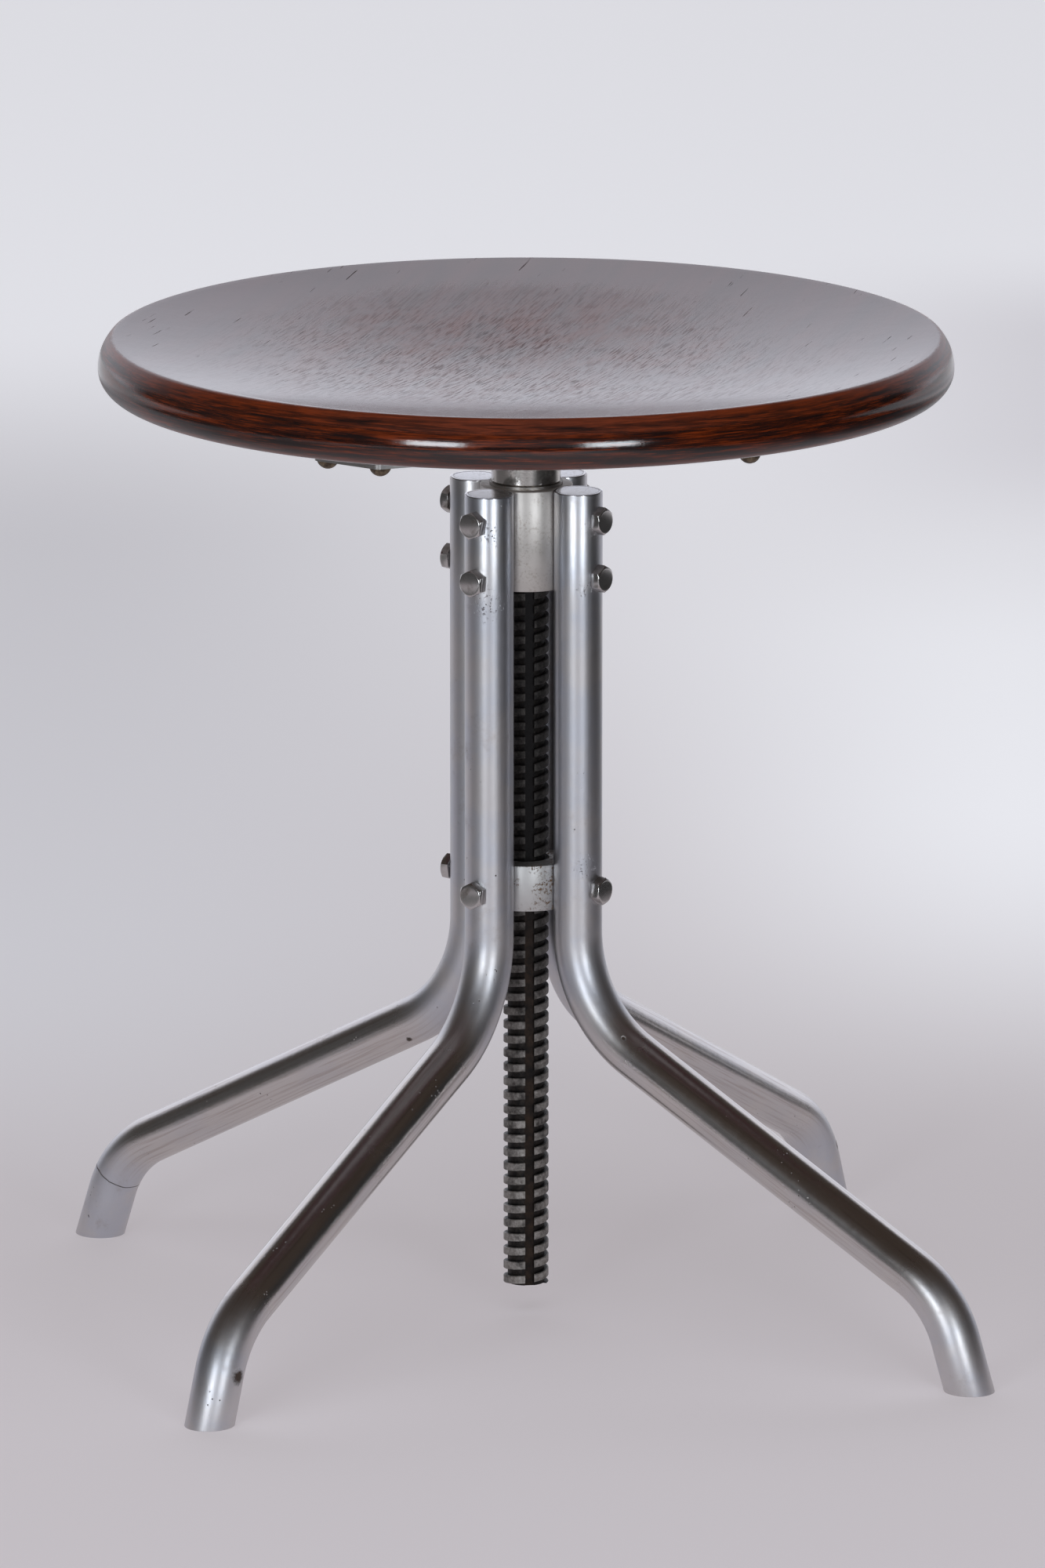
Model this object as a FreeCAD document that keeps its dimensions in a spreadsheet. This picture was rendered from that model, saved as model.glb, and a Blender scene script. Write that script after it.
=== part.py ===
"""Height-adjustable piano stool with a dished wooden seat and a bent-tube stand.

Four bent steel tubes are bolted round a fluted nut at their top and round a matching guide collar
lower down. A keyed screw spindle hangs through both. A hub and a square steel plate on its top
carry the round seat, which is wound up and down by turning it.

Frame: millimetres, +Z up, origin on the floor on the spindle's axis. The legs stand on the
diagonals of X and Y, and the spindle's keyway faces -Y with the seat wound right down.
"""
import FreeCAD
import Part
import Sketcher
import math
import os

SIZES = (
    ("tube_od", 20.0, "outside diameter of the leg tubes"),
    ("tube_wall", 1.5, "wall of the leg tubes"),
    ("leg_circle_r", 26.0, "axis of the stool to the axis of a leg's upright"),
    ("column_top", 349.0, "height of the tube ends and the nut's top"),
    ("knee_height", 131.5, "height where the upright and the slanted run would meet"),
    ("ankle_r", 207.5, "radius where the slanted run and the foot would meet"),
    ("ankle_height", 37.0, "height where the slanted run and the foot would meet"),
    ("foot_r", 220.0, "radius of the foot's centre on the floor"),
    ("knee_bend_r", 55.0, "bend radius under the upright, on the tube's axis"),
    ("ankle_bend_r", 44.0, "bend radius above the foot, on the tube's axis"),
    ("foot_overrun", 12.0, "tube left below the floor line before the foot is cut level"),
    ("plug_depth", 5.0, "depth of the flush plug in a tube's top"),
    ("plug_clearance", 0.05, "between a plug and the tube's bore"),
    ("block_r", 19.0, "outside radius of the nut and the collar"),
    ("nut_height", 41.5, "height of the nut"),
    ("collar_height", 19.0, "height of the guide collar"),
    ("collar_bottom", 173.7, "height of the guide collar's underside"),
    ("flute_clearance", 0.1, "between a tube and the flute it lies in"),
    ("bolt_dia", 6.0, "shank of the hexagon bolts"),
    ("bolt_across_flats", 10.0, "hexagon of the bolts"),
    ("bolt_head_height", 4.0, "height of a bolt's head"),
    ("bolt_head_bevel", 0.8, "bevel on the outer face of a bolt's head"),
    ("bolt_clearance", 0.12, "between a bolt's shank and its hole"),
    ("bolt_engagement", 4.6, "length of a bolt's shank inside the nut or the collar"),
    ("bolt_end_gap", 0.3, "between a bolt's end and the bottom of its hole"),
    ("nut_bolt_inset", 11.2, "nut's top or underside down or up to the bolts next to it"),
    ("nut_bolt_pitch", 24.0, "between the nut's two rows of bolts"),
    ("spindle_r", 9.3, "outside radius of the screw"),
    ("spindle_bottom", 12.4, "floor to the screw's lower end"),
    ("spindle_bevel", 0.8, "bevel on the screw's lower end"),
    ("keyway_width", 3.8, "width of the keyway along the screw"),
    ("keyway_depth", 2.2, "depth of the keyway"),
    ("bore_clearance", 0.35, "between the screw and the bores that it turns in"),
    ("washer_r", 15.0, "outside radius of the friction washer"),
    ("washer_thick", 1.2, "thickness of the friction washer"),
    ("tab_clearance", 0.3, "between the washer's tab and the keyway"),
    ("spigot_r", 7.0, "radius of the screw's plain end in the hub"),
    ("hub_r", 14.2, "outside radius of the hub"),
    ("hub_height", 27.3, "height of the hub"),
    ("hub_bevel", 0.6, "bevel on the hub's lower edge"),
    ("fit_clearance", 0.05, "between the screw's plain end and what is riveted on it"),
    ("plate_thick", 4.0, "thickness of the seat plate"),
    ("plate_tip_r", 125.0, "axis of the stool to a cut corner of the plate"),
    ("plate_tip_width", 31.0, "length of a cut corner of the plate"),
    ("plate_dip", 7.3, "depth of the hollow in each side of the plate"),
    ("plate_corner_r", 3.0, "rounding of the plate's corners"),
    ("screw_inset", 5.5, "plate's cut corner to the seat screws"),
    ("screw_spread", 26.0, "between the two screws of a corner"),
    ("screw_head_r", 4.5, "radius of a seat screw's round head"),
    ("screw_head_height", 3.8, "height of a seat screw's round head"),
    ("screw_slot_width", 1.1, "slot in a seat screw's head"),
    ("screw_slot_depth", 1.5, "depth of that slot"),
    ("screw_shank_r", 1.9, "radius of a seat screw's shank"),
    ("screw_grip", 12.0, "length of a seat screw in the wood"),
    ("screw_point", 3.0, "length of a seat screw's point"),
    ("screw_clearance", 0.1, "between a seat screw and its hole"),
    ("seat_r", 174.5, "largest radius of the seat"),
    ("rim_bulge_r", 12.0, "radius of the rounded rim"),
    ("rim_rise", 19.0, "seat's underside to the centre of the rounded rim"),
    ("rim_top_angle", 56.0, "degrees from level to the upper end of the rounded rim"),
    ("rim_low_angle", 74.0, "degrees from level to the lower end of the rounded rim"),
    ("dish_depth", 12.0, "depth of the seat's dish below its rim"),
    ("flat_margin", 5.0, "plate's corners to the end of the flat underside"),
)

doc = FreeCAD.newDocument("PianoStool")
sheet = doc.addObject("Spreadsheet::Sheet", "Dims")
V = {}
for row, (alias, size, note) in enumerate(SIZES, start=1):
    sheet.set("A%d" % row, alias)
    sheet.set("B%d" % row, str(size))
    sheet.set("C%d" % row, note)
    sheet.setAlias("B%d" % row, alias)
    V[alias] = size
doc.recompute()

# Levels and radii that more than one piece takes: the value, and the same thing as an expression.
nut_bottom = V["column_top"] - V["nut_height"]
NUT_BOTTOM = "(Dims.column_top - Dims.nut_height)"
upper_bolt = V["column_top"] - V["nut_bolt_inset"]
UPPER_BOLT = "(Dims.column_top - Dims.nut_bolt_inset)"
lower_bolt = upper_bolt - V["nut_bolt_pitch"]
LOWER_BOLT = "(Dims.column_top - Dims.nut_bolt_inset - Dims.nut_bolt_pitch)"
collar_bolt = V["collar_bottom"] + V["collar_height"] / 2
COLLAR_BOLT = "(Dims.collar_bottom + Dims.collar_height / 2)"
bolt_seat = V["leg_circle_r"] + V["tube_od"] / 2
BOLT_SEAT = "(Dims.leg_circle_r + Dims.tube_od / 2)"
bolt_end = V["leg_circle_r"] - V["tube_od"] / 2 - V["bolt_engagement"]
BOLT_END = "(Dims.leg_circle_r - Dims.tube_od / 2 - Dims.bolt_engagement)"
hub_bottom = V["column_top"] + V["washer_thick"]
HUB_BOTTOM = "(Dims.column_top + Dims.washer_thick)"
plate_bottom = hub_bottom + V["hub_height"]
PLATE_BOTTOM = "(Dims.column_top + Dims.washer_thick + Dims.hub_height)"
seat_bottom = plate_bottom + V["plate_thick"]
SEAT_BOTTOM = "(Dims.column_top + Dims.washer_thick + Dims.hub_height + Dims.plate_thick)"
screw_r = V["plate_tip_r"] - V["screw_inset"]
SCREW_R = "(Dims.plate_tip_r - Dims.screw_inset)"
LEG_TURN = 45.0

SUBPARTS = []


def vec(x, y, z=0.0):
    return FreeCAD.Vector(x, y, z)


def new_body(label, turn=0.0):
    """A body whose own X axis points along a leg after it is turned about Z."""
    body = doc.addObject("PartDesign::Body", label)
    body.Label = label
    body.AllowCompound = True
    body.Placement = FreeCAD.Placement(vec(0, 0), FreeCAD.Rotation(vec(0, 0, 1), turn))
    return body


def origin(body, role):
    return next(o for o in body.Origin.OriginFeatures if o.Role == role)


def new_sketch(body, name, role, offset=("0", "0", "0")):
    """A sketch on one of the body's own planes, moved along its axes by expressions."""
    sketch = body.newObject("Sketcher::SketchObject", name)
    sketch.AttachmentSupport = (origin(body, role), [""])
    sketch.MapMode = "FlatFace"
    for axis, expression in zip("xyz", offset):
        if expression != "0":
            sketch.setExpression("AttachmentOffset.Base." + axis, expression)
    return sketch


def bind(sketch, kind, where, value, expression):
    """A dimension on a sketch, driven by an expression of the sheet."""
    number = sketch.addConstraint(Sketcher.Constraint(kind, *where, value))
    sketch.setExpression("Constraints[%d]" % number, expression)


def fix_point(sketch, geo, pos, x, x_expr, y, y_expr):
    """Dimensions from the sketch's origin to a point, or the axis that it lies on."""
    for kind, value, expr, axis in (("DistanceX", x, x_expr, -2), ("DistanceY", y, y_expr, -1)):
        if expr == "0":
            sketch.addConstraint(Sketcher.Constraint("PointOnObject", geo, pos, axis))
        elif value < 0:
            bind(sketch, kind, (geo, pos, -1, 1), -value, "-(%s)" % expr)
        else:
            bind(sketch, kind, (-1, 1, geo, pos), value, expr)


def add_circle(sketch, x, x_expr, y, y_expr, r, r_expr):
    geo = sketch.addGeometry(Part.Circle(vec(x, y), vec(0, 0, 1), r), False)
    if x_expr == "0" and y_expr == "0":
        sketch.addConstraint(Sketcher.Constraint("Coincident", geo, 3, -1, 1))
    else:
        fix_point(sketch, geo, 3, x, x_expr, y, y_expr)
    bind(sketch, "Radius", (geo,), r, r_expr)
    return geo


def add_polygon(sketch, points):
    """A closed outline of straight lines through points given as x, expression, y, expression."""
    first = None
    for i, point in enumerate(points):
        after = points[(i + 1) % len(points)]
        line = Part.LineSegment(vec(point[0], point[2]), vec(after[0], after[2]))
        geo = sketch.addGeometry(line, False)
        first = geo if first is None else first
    for i, point in enumerate(points):
        follower = first + (i + 1) % len(points)
        sketch.addConstraint(Sketcher.Constraint("Coincident", first + i, 2, follower, 1))
    for i, point in enumerate(points):
        fix_point(sketch, first + i, 1, *point)


def pad(body, name, sketch, length_expr):
    feature = body.newObject("PartDesign::Pad", name)
    feature.Profile = sketch
    feature.setExpression("Length", length_expr)
    return feature


def pocket(body, name, sketch, length_expr, reverse=False):
    """A cut from a sketch, which has to take something away from the body as it is."""
    doc.recompute()
    before = body.Tip.Shape.Volume
    feature = body.newObject("PartDesign::Pocket", name)
    feature.Profile = sketch
    feature.Reversed = reverse
    feature.setExpression("Length", length_expr)
    doc.recompute()
    if not feature.Shape.Volume < before - 1e-3:
        raise RuntimeError(name + " cuts nothing")
    return feature


def revolve(body, name, sketch):
    feature = body.newObject("PartDesign::Revolution", name)
    feature.Profile = sketch
    feature.ReferenceAxis = (sketch, ["V_Axis"])
    feature.Angle = 360.0
    return feature


def polar(body, name, features, count, angle=360.0):
    pattern = body.newObject("PartDesign::PolarPattern", name)
    pattern.Originals = features
    pattern.Axis = (origin(body, "Z_Axis"), [""])
    pattern.Angle = angle
    pattern.Occurrences = count
    body.Tip = pattern
    doc.recompute()
    return pattern


def finish(obj):
    SUBPARTS.append(obj)
    doc.recompute()


def leg(label, turn):
    """One bent tube: an upright, a slanted run and a short foot, with tangent bends between."""
    body = new_body(label, turn)
    path = new_sketch(body, label + "_path", "XZ_Plane")
    top = vec(V["leg_circle_r"], V["column_top"])
    knee = vec(V["leg_circle_r"], V["knee_height"])
    ankle = vec(V["ankle_r"], V["ankle_height"])
    foot = vec(V["foot_r"], 0)
    down = (foot - ankle).normalize()
    end = foot + down * (V["foot_overrun"] / -down.y)
    slant = (ankle - knee).normalize()
    knee_turn = math.acos(-slant.y)
    knee_cut = V["knee_bend_r"] * math.tan(knee_turn / 2)
    knee_from = knee + vec(0, knee_cut)
    knee_to = knee + slant * knee_cut
    knee_centre = knee_from + vec(V["knee_bend_r"], 0)
    ankle_turn = math.acos(slant.dot(down))
    ankle_cut = V["ankle_bend_r"] * math.tan(ankle_turn / 2)
    ankle_from = ankle - slant * ankle_cut
    ankle_to = ankle + down * ankle_cut
    ankle_centre = ankle_from + vec(slant.y, -slant.x) * V["ankle_bend_r"]
    start_ankle = math.atan2(ankle_to.y - ankle_centre.y, ankle_to.x - ankle_centre.x)
    up = vec(0, 0, 1)
    knee_circle = Part.Circle(knee_centre, up, V["knee_bend_r"])
    ankle_circle = Part.Circle(ankle_centre, up, V["ankle_bend_r"])
    path.addGeometry(Part.LineSegment(top, knee_from), False)
    path.addGeometry(Part.ArcOfCircle(knee_circle, math.pi, math.pi + knee_turn), False)
    path.addGeometry(Part.LineSegment(knee_to, ankle_from), False)
    path.addGeometry(Part.ArcOfCircle(ankle_circle, start_ankle, start_ankle + ankle_turn), False)
    path.addGeometry(Part.LineSegment(ankle_to, end), False)
    for point in (knee, ankle, foot):
        path.addGeometry(Part.Point(point), True)
    for joint in ((0, 2, 1, 1), (1, 2, 2, 1), (2, 2, 3, 2), (3, 1, 4, 1)):
        path.addConstraint(Sketcher.Constraint("Tangent", *joint))
    path.addConstraint(Sketcher.Constraint("Vertical", 0))
    fix_point(path, 0, 1, top.x, "Dims.leg_circle_r", top.y, "Dims.column_top")
    bind(path, "Radius", (1,), V["knee_bend_r"], "Dims.knee_bend_r")
    bind(path, "Radius", (3,), V["ankle_bend_r"], "Dims.ankle_bend_r")
    fix_point(path, 5, 1, knee.x, "Dims.leg_circle_r", knee.y, "Dims.knee_height")
    fix_point(path, 6, 1, ankle.x, "Dims.ankle_r", ankle.y, "Dims.ankle_height")
    fix_point(path, 7, 1, foot.x, "Dims.foot_r", 0, "0")
    for point, line in ((5, 2), (6, 2), (6, 4), (7, 4)):
        path.addConstraint(Sketcher.Constraint("PointOnObject", point, 1, line))
    bind(path, "DistanceY", (4, 2, -1, 1), V["foot_overrun"], "Dims.foot_overrun")
    section = new_sketch(body, label + "_section", "XY_Plane", ("0", "0", "Dims.column_top"))
    outer = V["tube_od"] / 2
    add_circle(section, top.x, "Dims.leg_circle_r", 0, "0", outer, "Dims.tube_od / 2")
    add_circle(section, top.x, "Dims.leg_circle_r", 0, "0", outer - V["tube_wall"],
               "Dims.tube_od / 2 - Dims.tube_wall")
    doc.recompute()
    tube = body.newObject("PartDesign::AdditivePipe", label + "_tube")
    tube.Profile = section
    tube.Spine = path
    doc.recompute()
    floor = new_sketch(body, label + "_floor", "XY_Plane")
    add_circle(floor, foot.x, "Dims.foot_r", 0, "0", 3 * outer, "Dims.tube_od * 1.5")
    pocket(body, label + "_level", floor, "Dims.foot_overrun * 2")
    holes = new_sketch(body, label + "_drill", "YZ_Plane")
    hole_r = V["bolt_dia"] / 2 + V["bolt_clearance"]
    for height, expr in ((upper_bolt, UPPER_BOLT), (lower_bolt, LOWER_BOLT), (collar_bolt, COLLAR_BOLT)):
        add_circle(holes, 0, "0", height, expr, hole_r, "Dims.bolt_dia / 2 + Dims.bolt_clearance")
    pocket(body, label + "_holes", holes, "Dims.leg_circle_r + Dims.tube_od", True)
    finish(body)


def plug(label, turn):
    """A flush disc that closes a tube's top."""
    body = new_body(label, turn)
    disc = new_sketch(body, label + "_disc", "XY_Plane",
                      ("0", "0", "Dims.column_top - Dims.plug_depth"))
    add_circle(disc, V["leg_circle_r"], "Dims.leg_circle_r", 0, "0",
               V["tube_od"] / 2 - V["tube_wall"] - V["plug_clearance"],
               "Dims.tube_od / 2 - Dims.tube_wall - Dims.plug_clearance")
    pad(body, label + "_pad", disc, "Dims.plug_depth")
    finish(body)


def fluted_block(label, bottom_expr, height_expr, bolts):
    """A round block with a flute for each tube, a bore for the screw and blind holes for the bolts."""
    body = new_body(label, LEG_TURN)
    base = new_sketch(body, label + "_round", "XY_Plane", ("0", "0", bottom_expr))
    add_circle(base, 0, "0", 0, "0", V["block_r"], "Dims.block_r")
    add_circle(base, 0, "0", 0, "0", V["spindle_r"] + V["bore_clearance"],
               "Dims.spindle_r + Dims.bore_clearance")
    pad(body, label + "_pad", base, height_expr)
    flute = new_sketch(body, label + "_flute", "XY_Plane", ("0", "0", bottom_expr))
    add_circle(flute, V["leg_circle_r"], "Dims.leg_circle_r", 0, "0",
               V["tube_od"] / 2 + V["flute_clearance"], "Dims.tube_od / 2 + Dims.flute_clearance")
    doc.recompute()
    cut = pocket(body, label + "_flute_cut", flute, height_expr, True)
    tapped = new_sketch(body, label + "_tapped", "YZ_Plane",
                        ("0", "0", BOLT_END + " - Dims.bolt_end_gap"))
    for height, expr in bolts:
        add_circle(tapped, 0, "0", height, expr, V["bolt_dia"] / 2 + V["bolt_clearance"],
                   "Dims.bolt_dia / 2 + Dims.bolt_clearance")
    drilled = pocket(body, label + "_tapped_cut", tapped, "Dims.block_r", True)
    polar(body, label + "_round_the_axis", [cut, drilled], 4)
    finish(body)


def bolts(label, height, height_expr):
    """One ring of four hexagon bolts, through the tubes into the nut or the collar."""
    body = new_body(label, LEG_TURN)
    hexagon = new_sketch(body, label + "_hexagon", "YZ_Plane", ("0", height_expr, BOLT_SEAT))
    flat = V["bolt_across_flats"] / 2
    corner = V["bolt_across_flats"] / math.sqrt(3)
    half, corner_expr = "Dims.bolt_across_flats / 2", "Dims.bolt_across_flats / sqrt(3)"
    add_polygon(hexagon, (
        (flat, half, corner / 2, corner_expr + " / 2"),
        (0, "0", corner, corner_expr),
        (-flat, "-" + half, corner / 2, corner_expr + " / 2"),
        (-flat, "-" + half, -corner / 2, "-" + corner_expr + " / 2"),
        (0, "0", -corner, "-" + corner_expr),
        (flat, half, -corner / 2, "-" + corner_expr + " / 2")))
    head = pad(body, label + "_head", hexagon, "Dims.bolt_head_height")
    doc.recompute()
    face = V["bolt_head_height"] + bolt_seat
    bevel = V["bolt_head_bevel"]
    trim = new_sketch(body, label + "_trim", "XZ_Plane", ("0", height_expr, "0"))
    add_polygon(trim, (
        (face, BOLT_SEAT + " + Dims.bolt_head_height", flat, half),
        (face, BOLT_SEAT + " + Dims.bolt_head_height", flat + 2 * bevel, half + " + 2 * Dims.bolt_head_bevel"),
        (face - bevel, BOLT_SEAT + " + Dims.bolt_head_height - Dims.bolt_head_bevel",
         flat + 2 * bevel, half + " + 2 * Dims.bolt_head_bevel")))
    doc.recompute()
    groove = body.newObject("PartDesign::Groove", label + "_bevel")
    groove.Profile = trim
    groove.ReferenceAxis = (trim, ["H_Axis"])
    groove.Angle = 360.0
    doc.recompute()
    round_bar = new_sketch(body, label + "_round", "YZ_Plane", ("0", height_expr, BOLT_END))
    add_circle(round_bar, 0, "0", 0, "0", V["bolt_dia"] / 2, "Dims.bolt_dia / 2")
    shank = pad(body, label + "_shank", round_bar, BOLT_SEAT + " - " + BOLT_END)
    doc.recompute()
    polar(body, label + "_round_the_axis", [head, groove, shank], 4)
    finish(body)


def washer(label):
    """The friction washer on the nut: its tab runs in the keyway, so it turns with the screw."""
    body = new_body(label)
    ring = new_sketch(body, label + "_ring", "XY_Plane", ("0", "0", "Dims.column_top"))
    bore = V["spindle_r"] + V["bore_clearance"]
    add_circle(ring, 0, "0", 0, "0", V["washer_r"], "Dims.washer_r")
    add_circle(ring, 0, "0", 0, "0", bore, "Dims.spindle_r + Dims.bore_clearance")
    pad(body, label + "_pad", ring, "Dims.washer_thick")
    doc.recompute()
    tab = new_sketch(body, label + "_tab", "XY_Plane", ("0", "0", "Dims.column_top"))
    side = V["keyway_width"] / 2 - V["tab_clearance"]
    side_expr = "(Dims.keyway_width / 2 - Dims.tab_clearance)"
    tip = V["spindle_r"] - V["keyway_depth"] + V["tab_clearance"]
    tip_expr = "(Dims.spindle_r - Dims.keyway_depth + Dims.tab_clearance)"
    root = (bore + V["washer_r"]) / 2
    root_expr = "((Dims.spindle_r + Dims.bore_clearance + Dims.washer_r) / 2)"
    add_polygon(tab, (
        (side, side_expr, -tip, "-" + tip_expr),
        (-side, "-" + side_expr, -tip, "-" + tip_expr),
        (-side, "-" + side_expr, -root, "-" + root_expr),
        (side, side_expr, -root, "-" + root_expr)))
    pad(body, label + "_tab_pad", tab, "Dims.washer_thick")
    finish(body)


def spindle(label):
    """The screw's bar with its keyway and the plain end that is riveted into hub and plate."""
    body = new_body(label)
    r, low = V["spindle_r"], V["spindle_bottom"]
    outline = new_sketch(body, label + "_outline", "XZ_Plane")
    add_polygon(outline, (
        (0, "0", low, "Dims.spindle_bottom"),
        (r - V["spindle_bevel"], "Dims.spindle_r - Dims.spindle_bevel", low, "Dims.spindle_bottom"),
        (r, "Dims.spindle_r", low + V["spindle_bevel"], "Dims.spindle_bottom + Dims.spindle_bevel"),
        (r, "Dims.spindle_r", hub_bottom, HUB_BOTTOM),
        (V["spigot_r"], "Dims.spigot_r", hub_bottom, HUB_BOTTOM),
        (V["spigot_r"], "Dims.spigot_r", seat_bottom, SEAT_BOTTOM),
        (0, "0", seat_bottom, SEAT_BOTTOM)))
    doc.recompute()
    revolve(body, label + "_bar", outline)
    doc.recompute()
    slot = new_sketch(body, label + "_keyway", "XY_Plane", ("0", "0", "Dims.spindle_bottom"))
    side, floor = V["keyway_width"] / 2, r - V["keyway_depth"]
    add_polygon(slot, (
        (side, "Dims.keyway_width / 2", -floor, "-(Dims.spindle_r - Dims.keyway_depth)"),
        (-side, "-Dims.keyway_width / 2", -floor, "-(Dims.spindle_r - Dims.keyway_depth)"),
        (-side, "-Dims.keyway_width / 2", -2 * r, "-2 * Dims.spindle_r"),
        (side, "Dims.keyway_width / 2", -2 * r, "-2 * Dims.spindle_r")))
    doc.recompute()
    pocket(body, label + "_keyway_cut", slot, HUB_BOTTOM + " - Dims.spindle_bottom", True)
    finish(body)


def hub(label):
    """The turned hub between the screw's shoulder and the seat plate."""
    body = new_body(label)
    outline = new_sketch(body, label + "_outline", "XZ_Plane")
    bore, bore_expr = V["spigot_r"] + V["fit_clearance"], "Dims.spigot_r + Dims.fit_clearance"
    add_polygon(outline, (
        (bore, bore_expr, hub_bottom, HUB_BOTTOM),
        (V["hub_r"] - V["hub_bevel"], "Dims.hub_r - Dims.hub_bevel", hub_bottom, HUB_BOTTOM),
        (V["hub_r"], "Dims.hub_r", hub_bottom + V["hub_bevel"], HUB_BOTTOM + " + Dims.hub_bevel"),
        (V["hub_r"], "Dims.hub_r", plate_bottom, PLATE_BOTTOM),
        (bore, bore_expr, plate_bottom, PLATE_BOTTOM)))
    doc.recompute()
    revolve(body, label + "_turned", outline)
    finish(body)


def seat_plate(label):
    """A square plate with hollow sides and cut corners, which point along the legs."""
    body = new_body(label)
    near = (V["plate_tip_r"] - V["plate_tip_width"] / 2) / math.sqrt(2)
    far = (V["plate_tip_r"] + V["plate_tip_width"] / 2) / math.sqrt(2)
    near_expr = "(Dims.plate_tip_r - Dims.plate_tip_width / 2) / sqrt(2)"
    far_expr = "(Dims.plate_tip_r + Dims.plate_tip_width / 2) / sqrt(2)"
    outline = new_sketch(body, label + "_outline", "XY_Plane", ("0", "0", PLATE_BOTTOM))
    corners = []
    for x, y in ((1, 2), (-1, 2), (-2, 1), (-2, -1), (-1, -2), (1, -2), (2, -1), (2, 1)):
        point = []
        for c in (x, y):
            point.append(math.copysign(near if abs(c) == 1 else far, c))
            point.append(("-" if c < 0 else "") + "(" + (near_expr if abs(c) == 1 else far_expr) + ")")
        corners.append(tuple(point))
    add_polygon(outline, corners)
    pad(body, label + "_pad", outline, "Dims.plate_thick")
    doc.recompute()
    sag = V["plate_dip"]
    waist, waist_expr = far - sag, "((%s) - Dims.plate_dip)" % far_expr
    hollow_r = (near * near + sag * sag) / (2 * sag)
    hollow_expr = "((((%s)) ^ 2 + Dims.plate_dip ^ 2) / (2 * Dims.plate_dip))" % near_expr
    hollow = new_sketch(body, label + "_hollow", "XY_Plane", ("0", "0", PLATE_BOTTOM))
    add_circle(hollow, 0, "0", -(waist + hollow_r), "-(%s + %s)" % (waist_expr, hollow_expr),
               hollow_r, hollow_expr)
    side = pocket(body, label + "_hollow_side", hollow, "Dims.plate_thick", True)
    polar(body, label + "_hollow_sides", [side], 4)
    sides = body.Tip
    edges = []
    for i, edge in enumerate(sides.Shape.Edges, start=1):
        a, b = edge.Vertexes[0].Point, edge.Vertexes[-1].Point
        if abs(abs(a.z - b.z) - V["plate_thick"]) < 1e-6 and math.hypot(a.x, a.y) > far:
            edges.append("Edge%d" % i)
    rounding = body.newObject("PartDesign::Fillet", label + "_corners")
    rounding.Base = (sides, edges)
    rounding.setExpression("Radius", "Dims.plate_corner_r")
    doc.recompute()
    holes = new_sketch(body, label + "_centre", "XY_Plane", ("0", "0", PLATE_BOTTOM))
    add_circle(holes, 0, "0", 0, "0", V["spigot_r"] + V["fit_clearance"],
               "Dims.spigot_r + Dims.fit_clearance")
    pocket(body, label + "_centre_hole", holes, "Dims.plate_thick", True)
    drill_for_screws(body, label, PLATE_BOTTOM, "Dims.plate_thick")
    finish(body)


def drill_for_screws(body, label, level_expr, depth_expr):
    """Holes for the two seat screws at each of the plate's corners."""
    drill = new_sketch(body, label + "_drill", "XY_Plane", ("0", "0", level_expr))
    hole = V["screw_shank_r"] + V["screw_clearance"]
    hole_expr = "Dims.screw_shank_r + Dims.screw_clearance"
    for side in (1, -1):
        x = (screw_r - side * V["screw_spread"] / 2) / math.sqrt(2)
        y = (screw_r + side * V["screw_spread"] / 2) / math.sqrt(2)
        sign = "-" if side > 0 else "+"
        other = "+" if side > 0 else "-"
        add_circle(drill, x, "(%s %s Dims.screw_spread / 2) / sqrt(2)" % (SCREW_R, sign),
                   y, "(%s %s Dims.screw_spread / 2) / sqrt(2)" % (SCREW_R, other), hole, hole_expr)
    doc.recompute()
    pair = pocket(body, label + "_pair", drill, depth_expr, True)
    polar(body, label + "_pairs", [pair], 4)


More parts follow.
